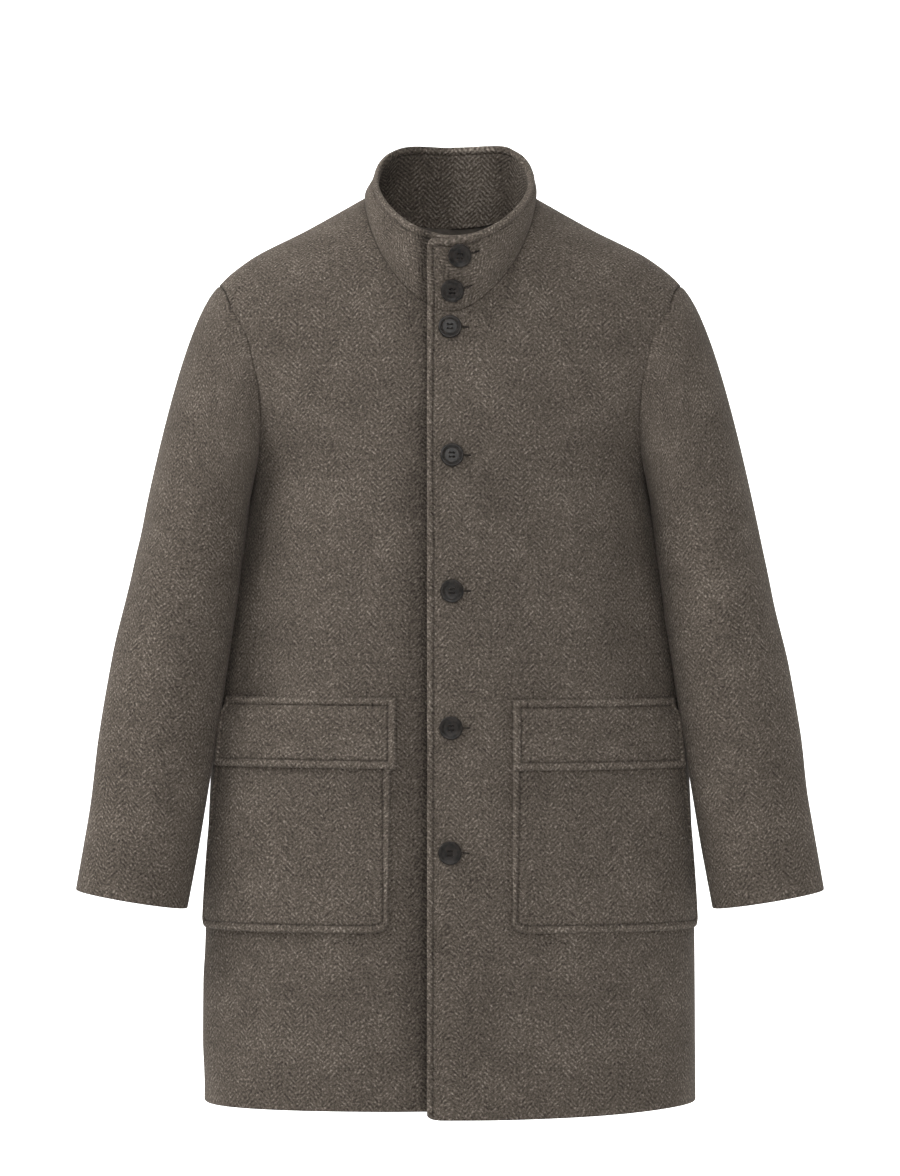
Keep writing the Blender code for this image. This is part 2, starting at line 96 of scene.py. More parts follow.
def torso(name, z):
    return column_curve(TORSO, TORSO_COLUMNS, name, z)


def ease(value):
    """Soft step from 0 to 1."""
    value = np.clip(value, 0.0, 1.0)
    return value * value * (3.0 - 2.0 * value)


def signed_power(value, power):
    return np.sign(value) * np.abs(value) ** power


def unit(vectors):
    return vectors / np.linalg.norm(vectors, axis=-1, keepdims=True)


def torso_point(turn, z):
    """Point of the body's outer surface; turn is 0 at the centre front and 90 degrees at the left side."""
    angle = np.radians(turn)
    power = 2.0 / torso("roundness", z)
    forward = signed_power(np.cos(angle), power)
    depth = np.where(forward > 0, torso("front_depth", z), torso("back_depth", z))
    x = torso("half_width", z) * signed_power(np.sin(angle), power)
    return np.stack(np.broadcast_arrays(x, torso("centre_y", z) - depth * forward, z), axis=-1)


# Small steps for normals: in turn and millimetres on the body, in turn and share on a ring.
BODY_STEPS, RING_STEPS = (0.05, 0.5), (0.5, 0.01)


def surface_normal(surface, first, second, first_step, second_step):
    along = surface(first + first_step, second) - surface(first - first_step, second)
    across = surface(first, second + second_step) - surface(first, second - second_step)
    return unit(np.cross(along, across))


def torso_normal(turn, z):
    return surface_normal(torso_point, turn, z, *BODY_STEPS)


def turn_at_x(x, z):
    ratio = signed_power(np.clip(x / torso("half_width", z), -1.0, 1.0), torso("roundness", z) / 2.0)
    return np.degrees(np.arcsin(ratio))


print("chest half width:", round(float(torso("half_width", -200.0)), 1), "mm")

# %% [markdown]
# Wool coating like this is felted, so its colour is a mix of light and dark fibres rather than one brown.
# A herringbone weave also shows faintly: diagonal lines that change direction in columns.
# We draw both from the cloth's own flat coordinates, in metres, so the weave turns with each piece.
# One small function adds a shader node with its settings and links; all but the thread materials use it.

# %% Materials
def linear(colour):
    """Linear colour from a written sRGB one such as 5f5750."""
    parts = [int(colour[index:index + 2], 16) / 255.0 for index in (0, 2, 4)]
    return [part / 12.92 if part <= 0.04045 else ((part + 0.055) / 1.055) ** 2.4 for part in parts] + [1.0]


def add_node(tree, kind, settings=None, inputs=None):
    """One node; inputs maps a socket to a value, or to the (node, output) that feeds it."""
    item = tree.nodes.new(kind)
    for key, value in (settings or {}).items():
        setattr(item, key, value)
    for socket, value in (inputs or {}).items():
        if isinstance(value, tuple) and isinstance(value[0], bpy.types.Node):
            tree.links.new(value[0].outputs[value[1]], item.inputs[socket])
        else:
            item.inputs[socket].default_value = value
    return item


def new_material(name, roughness, specular):
    material = bpy.data.materials.new(name)
    material.use_nodes = True
    shader = material.node_tree.nodes["Principled BSDF"]
    shader.inputs["Roughness"].default_value = roughness
    shader.inputs["Specular IOR Level"].default_value = specular
    return material, shader


def set_ramp(ramp, stops):
    """Colour stops of a ramp, as (position, sRGB colour)."""
    elements = ramp.color_ramp.elements
    while len(elements) < len(stops):
        elements.new(0.5)
    for element, (position, colour) in zip(elements, stops):
        element.position = position
        element.color = linear(colour)


COLUMN_WIDTH, COLUMN_SHIFT = 0.014, 7.31
TWILL_RISE = 0.0052
FLECK_LENGTH, FLECK_WIDTH, GRAIN = 0.0038, 0.0018, 0.0021
MOTTLE, MOTTLE_SHARE, PAINTED_LIGHT_SHARE = 0.05, 0.16, 0.045
WOOL_TONES = ((0.33, "2b2723"), (0.53, "4d463f"), (0.67, "625a52"), (0.91, "a0968b"))
WOOL_BUMP = {"Strength": 0.25, "Distance": 0.0005}
WOOL_SHEEN = {"Sheen Weight": 0.12, "Sheen Roughness": 0.5, "Sheen Tint": linear("c9bfb4")}


def wool(name, twill):
    """Felted herringbone wool; twill is how plainly the diagonal lines show through the felt."""
    material, shader = new_material(name, roughness=0.95, specular=0.1)
    tree = material.node_tree

    def sums(operation, *values):
        return add_node(tree, "ShaderNodeMath", {"operation": operation}, dict(enumerate(values))), 0

    cloth_map = add_node(tree, "ShaderNodeUVMap", {"uv_map": "cloth"})
    flat = add_node(tree, "ShaderNodeSeparateXYZ", {}, {0: (cloth_map, 0)})
    # The diagonal changes direction in columns, and every column has flecks of its own.
    zigzag = sums("PINGPONG", (flat, 0), COLUMN_WIDTH)
    column = sums("FLOOR", sums("DIVIDE", (flat, 0), COLUMN_WIDTH))
    across = sums("ADD", zigzag, (flat, 1))
    along = sums("SUBTRACT", zigzag, (flat, 1))
    lines = sums("SINE", sums("MULTIPLY", across, 2.0 * math.pi / TWILL_RISE))
    # Fibres are far finer than a millimetre; they are drawn as coarser flecks, which the eye sees first.
    fleck_place = add_node(tree, "ShaderNodeCombineXYZ", {},
                           {0: sums("DIVIDE", along, math.sqrt(2.0) * FLECK_LENGTH),
                            1: sums("DIVIDE", across, math.sqrt(2.0) * FLECK_WIDTH),
                            2: sums("MULTIPLY", column, COLUMN_SHIFT)})
    fleck = add_node(tree, "ShaderNodeTexNoise", {},
                     {"Vector": (fleck_place, 0), "Scale": 1.0, "Detail": 1.0, "Roughness": 0.6})
    grain = add_node(tree, "ShaderNodeTexNoise", {"noise_dimensions": "2D"},
                     {"Vector": (cloth_map, 0), "Scale": 1.0 / GRAIN, "Detail": 1.0, "Roughness": 0.6})
    mottle = add_node(tree, "ShaderNodeTexNoise", {"noise_dimensions": "2D"},
                      {"Vector": (cloth_map, 0), "Scale": 1.0 / MOTTLE, "Detail": 5.0, "Roughness": 0.6})
    # Painted light and shade: edge strips are painted lighter; stitch grooves, seams and hollows darker.
    pressed = add_node(tree, "ShaderNodeAttribute", {"attribute_name": "pressed"})
    fibres = sums("MULTIPLY", sums("ADD", (fleck, 0), (grain, 0)), 0.5)
    weave = sums("MULTIPLY_ADD", lines, twill, fibres)
    uneven = sums("MULTIPLY_ADD", (mottle, 0), MOTTLE_SHARE, weave)
    tone = sums("MULTIPLY_ADD", (pressed, "Fac"), PAINTED_LIGHT_SHARE, uneven)
    ramp = add_node(tree, "ShaderNodeValToRGB", {}, {0: tone})
    set_ramp(ramp, WOOL_TONES)
    tree.links.new(ramp.outputs[0], shader.inputs["Base Color"])
    bump = add_node(tree, "ShaderNodeBump", {}, {**WOOL_BUMP, "Height": weave})
    tree.links.new(bump.outputs[0], shader.inputs["Normal"])
    # Loose fibres catch light at the outline, which softens the edge of the cloth.
    for socket, value in WOOL_SHEEN.items():
        shader.inputs[socket].default_value = value
    return material


def dyed_thread(name, colour, sheen):
    """Matt thread in one colour."""
    material, shader = new_material(name, roughness=0.8, specular=0.2)
    shader.inputs["Base Color"].default_value = linear(colour)
    shader.inputs["Sheen Weight"].default_value = sheen
    return material


WOOL = wool("wool_coating", twill=0.04)
COLLAR_WOOL = wool("wool_collar", twill=0.09)

LINING, lining_shader = new_material("lining_satin", roughness=0.5, specular=0.3)
lining_tree = LINING.node_tree
lining_map = add_node(lining_tree, "ShaderNodeUVMap", {"uv_map": "cloth"})
lining_slub = add_node(lining_tree, "ShaderNodeTexNoise", {"noise_dimensions": "2D"},
                       {"Vector": (lining_map, 0), "Scale": 160.0, "Detail": 2.0})
# Satin is even and dark, with a faint change of tone along its threads.
lining_ramp = add_node(lining_tree, "ShaderNodeValToRGB", {}, {0: (lining_slub, 0)})
set_ramp(lining_ramp, ((0.3, "57524c"), (0.7, "665f58")))
lining_tree.links.new(lining_ramp.outputs[0], lining_shader.inputs["Base Color"])
lining_shader.inputs["Sheen Weight"].default_value = 0.1

HORN, horn_shader = new_material("horn_button", roughness=0.36, specular=0.22)
horn_tree = HORN.node_tree
horn_place = add_node(horn_tree, "ShaderNodeTexCoord")
horn_grain = add_node(horn_tree, "ShaderNodeTexNoise", {},
                      {"Vector": (horn_place, "Object"), "Scale": 220.0, "Detail": 3.0, "Distortion": 1.2})
# Horn is nearly black with brown clouds, and polished.
horn_ramp = add_node(horn_tree, "ShaderNodeValToRGB", {}, {0: (horn_grain, 0)})
set_ramp(horn_ramp, ((0.38, "12100e"), (0.62, "28231f")))
horn_tree.links.new(horn_ramp.outputs[0], horn_shader.inputs["Base Color"])

# Thread in the cloth's own tone, a little darker, so that a row of stitches reads as a soft line.
THREAD = dyed_thread("sewing_thread", "4b443e", sheen=0.15)
# Nearly black thread for the buttons and the edges of their holes.
DARK_THREAD = dyed_thread("button_thread", "1b1816", sheen=0.0)
print("materials:", [item.name for item in (WOOL, COLLAR_WOOL, LINING, HORN, THREAD, DARK_THREAD)])

# %% [markdown]
# Real cloth is thin, has rounded edges, and sinks where a row of stitches pulls it in.
# A modifier could thicken a sheet, but it could not place stitches eight millimetres from an edge.
# So we lay every piece as a grid whose first columns and rows sit at fixed distances from its edges.
# From those distances we round the edge, roll the cloth a little, and press in the stitch line.

# %% A helper that lays one piece of cloth
WALL, COLLAR_WALL, FACING_WALL = 3.0, 2.6, 1.2
CLOTH_STEP, SMALL_STEP, COLLAR_STEP = 6.0, 5.0, 4.5
SIDES = ("left", "right", "bottom", "top")
STITCH_INSET = 8.0
NEAR_EDGE = {
    "seam": (0.0, 0.4, 1.0, 2.0, 4.0),
    "sewn": (0.0, 0.4, 1.0, 2.0, 4.0),
    "eased": (0.0, 0.4, 0.9, 1.6, 2.5, 4.0, 7.0),
    "fold": (0.0, 0.4, 1.0, 1.8, 4.0),
    "stitched": (0.0, 0.4, 1.0, 1.8, 3.6, 5.6, 6.8, 7.4, STITCH_INSET, 8.6, 9.3, 11.0),
    "rim": (0.0, 0.3, 0.8, 1.5, 2.4, 3.4, 5.6, 6.8, 7.4, STITCH_INSET, 8.6, 9.3, 11.0),
}
EDGE_RADIUS = {"seam": 0.7, "sewn": 0.7, "eased": 2.6, "fold": 1.6, "stitched": 1.8, "rim": 3.2}
THINNEST = 0.12
STITCH_DEPTH, STITCH_SPREAD, EDGE_ROLL = 1.4, 0.9, 1.0
# Painted shade in stitch grooves and along seams: strengths, and the seams' spread in millimetres.
GROOVE_SHADE, SEAM_SHADE, SEAM_SPREAD = 1.5, {"sewn": 2.4, "eased": 3.6}, 1.5
FOLD_CALM, FOLD_TAPER = 40.0, 0.35
FULL_WALL, LAYOUT_SAMPLES = 0.9, 201


def arc(points, axis):
    """Length along a grid from its first row or column."""
    steps = np.linalg.norm(np.diff(points, axis=axis), axis=-1)
    start = np.zeros_like(np.take(steps, [0], axis=axis))
    return np.concatenate((start, np.cumsum(steps, axis=axis)), axis=axis)


def spread(lengths, step, start, end):
    """Distances along rows of the given lengths: fixed near both edges, and even between them."""
    lengths = np.asarray(lengths)[:, None]
    share = np.linspace(0.0, 1.0, int(lengths.max() / step) + 2)[None, 1:-1]
    first = np.broadcast_to(start, (len(lengths), len(start)))
    middle = start[-1] + (lengths - start[-1] - end[-1]) * share
    return np.concatenate((first, middle, lengths - np.asarray(end)[::-1]), axis=1)


def lay_out(surface, edges, step):
    """Shares across and up for a grid whose first lines follow NEAR_EDGE."""
    fine = np.linspace(0.0, 1.0, LAYOUT_SAMPLES)
    heights = arc(surface(*np.broadcast_arrays([[0.0, 1.0]], fine[:, None]))[0], 0).mean(axis=1)
    rows = spread(heights[-1:], step, NEAR_EDGE[edges["bottom"]], NEAR_EDGE[edges["top"]])[0]
    up = np.interp(rows, heights, fine)[:, None]
    widths = arc(surface(*np.broadcast_arrays(fine[None, :], up))[0], 1)
    columns = spread(widths[:, -1], step, NEAR_EDGE[edges["left"]], NEAR_EDGE[edges["right"]])
    across = np.stack([np.interp(wanted, length, fine) for wanted, length in zip(columns, widths)])
    return across, np.broadcast_to(up, across.shape)


def soft_folds(table, u, v):
    """Height of soft folds; each row is start (u, v), end (u, v), half width and height, in millimetres."""
    total = np.zeros_like(u)
    for start_u, start_v, end_u, end_v, half_width, height in table:
        run_u, run_v = end_u - start_u, end_v - start_v
        length = math.hypot(run_u, run_v)
        along = ((u - start_u) * run_u + (v - start_v) * run_v) / length ** 2
        aside = ((u - start_u) * run_v - (v - start_v) * run_u) / length
        taper = ease(along / FOLD_TAPER) * ease((1.0 - along) / FOLD_TAPER)
        total += height * taper * np.exp(-(aside / half_width) ** 2)
    return total


def cloth_mesh(name, outer, inner, flat, lined, pressed, normal):
    """Closed shell of two grids, with flat places, painted light and shade, and a lining where wanted."""
    rows, columns = outer.shape[:2]
    count = rows * columns
    index = np.arange(count).reshape(rows, columns)
    quads = np.stack((index[:-1, :-1], index[:-1, 1:], index[1:, 1:], index[1:, :-1]), axis=-1)
    quads = quads.reshape(-1, 4)
    ring = np.concatenate((index[0, :-1], index[:-1, -1], index[-1, :0:-1], index[:0:-1, 0]))
    rim = np.stack((np.roll(ring, -1), ring, ring + count, np.roll(ring, -1) + count), axis=-1)
    faces = np.concatenate((quads, quads[:, ::-1] + count, rim))
    row, column = rows // 2, columns // 2
    here = outer[row, column]
    facing = np.cross(outer[row, column + 1] - here, outer[row + 1, column] - here)
    if np.dot(facing, normal[row, column]) < 0:
        faces = faces[:, ::-1]
    mesh = bpy.data.meshes.new(name)
    vertices = np.concatenate((outer.reshape(-1, 3), inner.reshape(-1, 3))) * MM
    mesh.from_pydata(vertices.tolist(), [], faces.tolist())
    lined_faces = np.zeros(len(faces), dtype=np.int32)
    lined_faces[len(quads):2 * len(quads)] = lined[:-1, :-1].reshape(-1)
    mesh.polygons.foreach_set("material_index", lined_faces)
    corners = np.empty(len(mesh.loops), dtype=np.int32)
    mesh.loops.foreach_get("vertex_index", corners)
    places = np.tile(flat.reshape(-1, 2) * MM, (2, 1)).astype(np.float32)
    mesh.uv_layers.new(name="cloth").data.foreach_set("uv", places[corners].reshape(-1))
    tint = np.tile(pressed.reshape(-1), 2).astype(np.float32)
    mesh.attributes.new("pressed", "FLOAT", "POINT").data.foreach_set("value", tint)
    mesh.shade_smooth()
    return mesh


def grid_area(points):
    """Area of a grid, in square metres."""
    halves = (np.cross(points[1:, :-1] - points[:-1, :-1], points[:-1, 1:] - points[:-1, :-1]),
              np.cross(points[:-1, 1:] - points[1:, 1:], points[1:, :-1] - points[1:, 1:]))
    return sum(0.5 * np.linalg.norm(half, axis=-1).sum() for half in halves) * MM * MM


def lay_cloth(node, surface, edges, thickness=WALL, step=CLOTH_STEP, folds=(), shades=(), lining=None,
              finish=WOOL):
    """One cut piece in place of a CAD node; surface gives points, normals and places in flat cloth."""
    across, up = lay_out(surface, edges, step)
    points, normal, flat = surface(across, up)
    u, v = arc(points, 1), arc(points, 0)
    flat = np.stack((u, v), axis=-1) if flat is None else flat
    away = {"left": u, "right": u[:, -1:] - u, "bottom": v, "top": v[-1:] - v}
    thin_out, thin_in = np.ones_like(u), np.ones_like(u)
    for side, kind in edges.items():
        part = 1.0 - np.clip(away[side] / EDGE_RADIUS[kind], 0.0, 1.0)
        rounded = np.maximum(np.sqrt(1.0 - part ** 2), THINNEST)
        thin_out = np.minimum(thin_out, 2.0 * rounded - 1.0 if kind == "rim" else rounded)
        thin_in = np.minimum(thin_in, np.ones_like(u) if kind == "rim" else rounded)
    stitched = [away[side] for side, kind in edges.items() if kind in ("stitched", "rim")]
    ridge, groove = np.zeros_like(u), np.zeros_like(u)
    if stitched:
        near = np.minimum.reduce(stitched)
        ridge = np.sin(np.pi * np.clip(near / STITCH_INSET, 0.0, 1.0))
        groove = np.exp(-((near - STITCH_INSET) / STITCH_SPREAD) ** 2)
    relief = EDGE_ROLL * ridge - STITCH_DEPTH * groove
    calm, ditch_shade = np.ones_like(u), np.zeros_like(u)
    for side, kind in edges.items():
        calm *= ease(away[side] / FOLD_CALM) if kind in ("seam", "sewn", "eased") else 1.0
        # Painted shade: a dark line of colour along each sewn or eased seam.
        if kind in SEAM_SHADE:
            ditch_shade = np.maximum(ditch_shade, SEAM_SHADE[kind] * np.exp(-(away[side] / SEAM_SPREAD) ** 2))
    lift = soft_folds(folds, flat[..., 0], flat[..., 1]) * calm
    half = 0.5 * thickness
    middle = points + normal * (lift - half)[..., None]
    outer = middle + normal * (half * thin_out + relief * (thin_out > FULL_WALL))[..., None]
    inner = middle - normal * (half * thin_in)[..., None]
    lined = np.zeros(u.shape, dtype=bool)
    if lining is not None:
        lined = np.logical_and.reduce([away[side] > band for side, band in lining.items()])
    # Painted highlight between each edge and its stitch line; painted shade in grooves, seams and shade
    # bands.
    pressed = ridge - GROOVE_SHADE * groove - ditch_shade - soft_folds(shades, flat[..., 0], flat[..., 1])
    mesh = cloth_mesh("cloth_" + node, outer, inner, flat, lined, pressed, normal)
    mesh.materials.append(finish)
    mesh.materials.append(LINING)
    piece = bpy.data.objects.new("cloth_" + node, mesh)
    bpy.context.scene.collection.objects.link(piece)
    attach(piece, "root")
    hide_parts(node)
    flat_size = (float(u.max()) * MM, float(v.max()) * MM)
    print(piece.name, "faces", len(mesh.polygons), "flat", [round(value, 3) for value in flat_size])
    garment[node] = {"piece": piece, "outer": outer, "normal": normal, "edges": edges, "flat": flat_size,
                     "area": float(grid_area(points))}


def mirrored(surface):
    """The same surface on the other side of the coat."""
    def other(across, up):
        points, normal, flat = surface(across, up)
        return points * (-1.0, 1.0, 1.0), normal * (-1.0, 1.0, 1.0), flat
    return other


garment = {}
print("edge kinds:", sorted(NEAR_EDGE))

# %% [markdown]
# The two fronts are the largest pieces, and the left one laps over the right.
# Each runs from its centre edge to its side, which follows the side seam and then the armhole.
# Its top follows the neck and then the shoulder.
# The lap stands a few millimetres off the cloth below it, which gives the fine shadow at the front edge.
# Heavy coating hangs almost smooth, so its folds are broad and shallow, and no two are alike.

# %% Fronts
SEAM_GAP = 0.12
LAP_LIFT, LAP_EDGE_X, UNDERLAP_EDGE_X = 4.0, -23.0, 24.0
LAP_FLAT_X, LAP_FADE_X = 30.0, 115.0
LAP_HEM_DROP, LAP_HEM_REACH = 8.0, 0.83
ARMHOLE_FRONT_CUT, ARMHOLE_BACK_CUT = 40.5, 37.0
ARMHOLE_LEAN, ARMHOLE_SQUARENESS = 1.25, 0.35
FRONT_CORNER, SQUARE_CORNER, FRONT_WIDTH = 6.0, 0.1, 330.0
FACING_BAND, HEM_BAND, CUFF_BAND = 80.0, 45.0, 40.0
ARMHOLE_SAMPLES, SEAM_SAMPLES, NECK_SAMPLES = 400, 200, 300


def lap_lift(x):
    """How far the lapped front stands off the one below it."""
    return LAP_LIFT * (1.0 - ease((x - LAP_FLAT_X) / (LAP_FADE_X - LAP_FLAT_X)))


def front_point(turn, z, lapped, offset=0.0):
    point = torso_point(turn, z)
    forward = lap_lift(point[..., 0:1]) * (0.0, -1.0, 0.0) if lapped else 0.0
    return point + forward + torso_normal(turn, z) * np.asarray(offset)[..., None]


def seam_turn(z):
    ratio = (0.5 * SEAM_GAP / torso("front_depth", z)) ** (torso("roundness", z) / 2.0)
    return 90.0 - np.degrees(np.arcsin(ratio))


def armhole_cut(z, depth):
    """Degrees that the armhole takes from the side at a height."""
    part = np.clip((z - UNDERARM_Z) / (SHOULDER_Z - UNDERARM_Z), 0.0, 1.0)
    return depth * np.sin(np.pi * part ** ARMHOLE_LEAN).clip(0.0) ** ARMHOLE_SQUARENESS


def front_neck(turn):
    angle = np.radians(turn)
    x = NECK_HALF_WIDTH * signed_power(np.sin(angle), FRONT_NECK_POWER)
    return x, -FRONT_NECK_DROP * np.abs(np.cos(angle)) ** FRONT_NECK_POWER


def back_neck(turn):
    angle = np.radians(turn)
    return NECK_HALF_WIDTH * np.sin(angle), -BACK_NECK_DROP * np.abs(np.cos(angle)) ** BACK_NECK_POWER


def corner_rise(distance, radius):
    """How far a rounded corner rises above its edge."""
    part = 1.0 - np.clip(distance / radius, 0.0, 1.0)
    return radius * (1.0 - np.sqrt(1.0 - part ** 2))


def path_on_body(turns, heights):
    """Function from a share of a path's length on the body to its turn and height."""
    length = arc(torso_point(turns, heights)[None], 1)[0]
    return lambda share: [np.interp(share * length[-1], length, values) for values in (turns, heights)]


def panel_paths(first_turn, armhole_depth, neck_curve):
    """Side of a panel, up the seam and the armhole, and its top, along the neck and down the shoulder."""
    swing = (1.0 - np.cos(np.linspace(0.0, np.pi, ARMHOLE_SAMPLES))) / 2.0
    armhole_z = UNDERARM_Z + (SHOULDER_Z - UNDERARM_Z) * swing[1:]
    side_z = np.append(np.linspace(HEM_Z, UNDERARM_Z, SEAM_SAMPLES), armhole_z)
    side_turn = np.minimum(seam_turn(side_z), 90.0 - armhole_cut(side_z, armhole_depth))
    neck_x, neck_z = neck_curve(np.linspace(first_turn, 90.0, NECK_SAMPLES))
    shoulder_z = np.linspace(0.0, SHOULDER_Z, SEAM_SAMPLES)[1:]
    top_z = np.append(neck_z, shoulder_z)
    top_turn = np.append(np.minimum(turn_at_x(neck_x, neck_z), seam_turn(neck_z)), seam_turn(shoulder_z))
    return path_on_body(side_turn, side_z), path_on_body(top_turn, top_z)


def fill(left, right, bottom, top, across, up):
    """Value inside a four-sided patch from its values on the sides."""
    ruled = (1.0 - across) * left(up) + across * right(up) + (1.0 - up) * bottom(across) + up * top(across)
    corners = (1.0 - up) * ((1.0 - across) * left(0.0) + across * right(0.0))
    return ruled - corners - up * ((1.0 - across) * left(1.0) + across * right(1.0))


def panel(across, up, edge_x, paths, hem_drop, corner):
    """Turn and height on the body; across runs from the centre edge to the side, up from hem to neck."""
    side, top = paths
    low, high = HEM_Z - hem_drop, top(0.0)[1]

    def edge_z(share):
        return low + (high - low) * share

    def edge_turn(share):
        return turn_at_x(edge_x, edge_z(share))

    def hem_turn(share):
        return edge_turn(0.0) + (seam_turn(HEM_Z) - edge_turn(0.0)) * share

    def hem_z(share):
        drop = hem_drop * (1.0 - ease(share / LAP_HEM_REACH))
        return HEM_Z - drop + corner_rise(share * FRONT_WIDTH, corner)

    turn = fill(edge_turn, lambda share: side(share)[0], hem_turn, lambda share: top(share)[0], across, up)
    z = fill(edge_z, lambda share: side(share)[1], hem_z, lambda share: top(share)[1], across, up)
    return turn, z


FLAT_TURNS = np.linspace(-30.0, 300.0, 331)
FLAT_HEIGHTS = np.linspace(-930.0, 0.0, 187)
flat_points = torso_point(FLAT_TURNS[None, :], FLAT_HEIGHTS[:, None])
FLAT_ACROSS, FLAT_UP = arc(flat_points, 1), arc(flat_points, 0)


def body_flat(turn, z, origin):
    """Place in the flat cloth: length round the body from a turn, and length up from the hem."""
    def look_up(table, at_turn):
        column = np.interp(at_turn, FLAT_TURNS, np.arange(len(FLAT_TURNS)))
        row = np.interp(z, FLAT_HEIGHTS, np.arange(len(FLAT_HEIGHTS)))
        i = np.minimum(row.astype(int), len(FLAT_HEIGHTS) - 2)
        j = np.minimum(column.astype(int), len(FLAT_TURNS) - 2)
        low = table[i, j] * (1.0 - column + j) + table[i, j + 1] * (column - j)
        high = table[i + 1, j] * (1.0 - column + j) + table[i + 1, j + 1] * (column - j)
        return low * (1.0 - row + i) + high * (row - i)
    around = look_up(FLAT_ACROSS, turn) - look_up(FLAT_ACROSS, np.full(np.shape(turn), origin))
    return np.stack((around, look_up(FLAT_UP, turn)), axis=-1)


def lap_turn(x):
    """Turn of the neck seam at an x near the centre front."""
    return np.degrees(np.arcsin(signed_power(np.asarray(x) / NECK_HALF_WIDTH, 1.0 / FRONT_NECK_POWER)))


def front_panel(edge_x, lapped, hem_drop, corner):
    paths = panel_paths(float(lap_turn(edge_x)), ARMHOLE_FRONT_CUT, front_neck)

    def surface(across, up):
        turn, z = panel(across, up, edge_x, paths, hem_drop, corner)
        return front_point(turn, z, lapped), torso_normal(turn, z), body_flat(turn, z, 0.0)
    return surface


# Each fold: start (u, v) and end (u, v) from the centre front and the hem, half width, height.
LEFT_FRONT_FOLDS = ((150, 330, 120, 640, 38, 3.5), (215, 380, 190, 600, 30, -3.2),
                    (90, 470, 70, 700, 34, -2.6), (120, 20, 150, 260, 40, 3.8),
                    (230, 10, 235, 220, 36, -4.2), (60, 5, 75, 170, 30, -2.9))
RIGHT_FRONT_FOLDS = ((20, -160, 20, 880, 26, -9.0), (150, 300, 110, 620, 42, 3.8),
                     (210, 350, 200, 590, 28, -3.5), (90, 430, 75, 690, 36, -3.2),
                     (100, 15, 120, 230, 44, 3.2), (210, 10, 225, 250, 36, -3.8),
                     (290, 20, 285, 190, 26, 3.2))
# Cloth beside the lap, the collar or the sleeve lies in shadow, so a painted shade darkens its colour
# there.
# A shade is written like a fold, with its strength last.
LEFT_FRONT_SHADES = ((48, 790, 108, 1085, 7, 3.0), (190, 720, 290, 290, 14, 1.2))
RIGHT_FRONT_SHADES = ((22, -500, 22, 1300, 6, 3.2), (26, -500, 26, 1300, 22, 0.9),
                      (48, 790, 108, 1085, 10, 1.4), (190, 720, 290, 290, 16, 2.2))
FRONT_EDGES = {"left": "stitched", "right": "sewn", "bottom": "fold", "top": "seam"}
FRONT_LINING = {"left": FACING_BAND, "bottom": HEM_BAND}
left_front = front_panel(LAP_EDGE_X, True, LAP_HEM_DROP, FRONT_CORNER)
right_front = mirrored(front_panel(-UNDERLAP_EDGE_X, False, 0.0, SQUARE_CORNER))
lay_cloth("front_left", left_front, FRONT_EDGES, folds=LEFT_FRONT_FOLDS, shades=LEFT_FRONT_SHADES,
          lining=FRONT_LINING)
lay_cloth("front_right", right_front, FRONT_EDGES, folds=RIGHT_FRONT_FOLDS, shades=RIGHT_FRONT_SHADES,
          lining=FRONT_LINING)

# %% [markdown]
# The back is one piece, cut on the fold of the cloth, with the same armholes and a shallow neck.
# It uses the fronts' own formulas, mirrored about the centre back, so its seams meet theirs.
# A few long, uneven folds fall from the shoulder blades, as they would on a worn coat.

# %% Back
BACK_PATHS = panel_paths(0.0, ARMHOLE_BACK_CUT, back_neck)


def back_panel(across, up):
    from_centre = 2.0 * across - 1.0
    turn, z = panel(np.abs(from_centre), up, 0.0, BACK_PATHS, 0.0, SQUARE_CORNER)
    turn = 180.0 + np.sign(from_centre) * turn
    return torso_point(turn, z), torso_normal(turn, z), body_flat(turn, z, 180.0)


BACK_FOLDS = ((-140, 150, -160, 640, 46, 4.8), (0, 60, 15, 560, 40, -4.5), (130, 180, 150, 660, 48, 5.1),
              (230, 30, 215, 420, 34, -3.8), (-220, 20, -210, 380, 36, -4.2), (-60, 20, -68, 260, 30, 3.5))
BACK_EDGES = {"left": "sewn", "right": "sewn", "bottom": "fold", "top": "seam"}
lay_cloth("back", back_panel, BACK_EDGES, folds=BACK_FOLDS, lining={"bottom": HEM_BAND})

# %% [markdown]
# A tailored sleeve is cut in two pieces, so that it can bend forward at the elbow.
# The top piece carries the rounded cap that is eased into the armhole; the under piece faces the body.
# The grid runs from the cuff up, and the cap is a curve from the armhole seam to the first oval of the arm.

# %% Sleeves
SLEEVE_COLUMNS = ("z", "centre_x", "half_width", "half_depth", "centre_y", "tilt")
SLEEVE = np.array([
    (-340.0, 260.0, 53.5, 66.0, -16.0, 3.0),
    (-410.0, 271.2, 55.3, 62.0, -32.0, 6.0),
    (-532.0, 290.5, 57.3, 56.0, -47.0, 9.0),
    (-642.0, 308.2, 57.4, 50.0, -57.0, 9.5),
    (-711.0, 320.4, 57.0, 46.0, -62.0, 9.5),
])
CAP_SWELL = {"out": (17.0, 17.0), "forward": 12.0, "down": (24.0, 6.0)}
TOP_SLEEVE_TURNS = (-107.96, 161.96)
UNDER_SLEEVE_TURNS = (162.04, 251.96)
SHARED_NORMAL_COSINES, SHARED_NORMAL_RUN = (0.3, 0.8), 0.2


def armhole_ring(turn):
    """Place of the armhole seam on the body; turn is 0 at the shoulder, 90 in front, 270 behind."""
    angle = np.radians(turn)
    z = UNDERARM_Z + (SHOULDER_Z - UNDERARM_Z) * (1.0 + np.cos(angle)) / 2.0
    front = 90.0 - armhole_cut(z, ARMHOLE_FRONT_CUT)
    back = 90.0 + armhole_cut(z, ARMHOLE_BACK_CUT)
    return np.where(np.sin(angle) >= 0, front, back), z


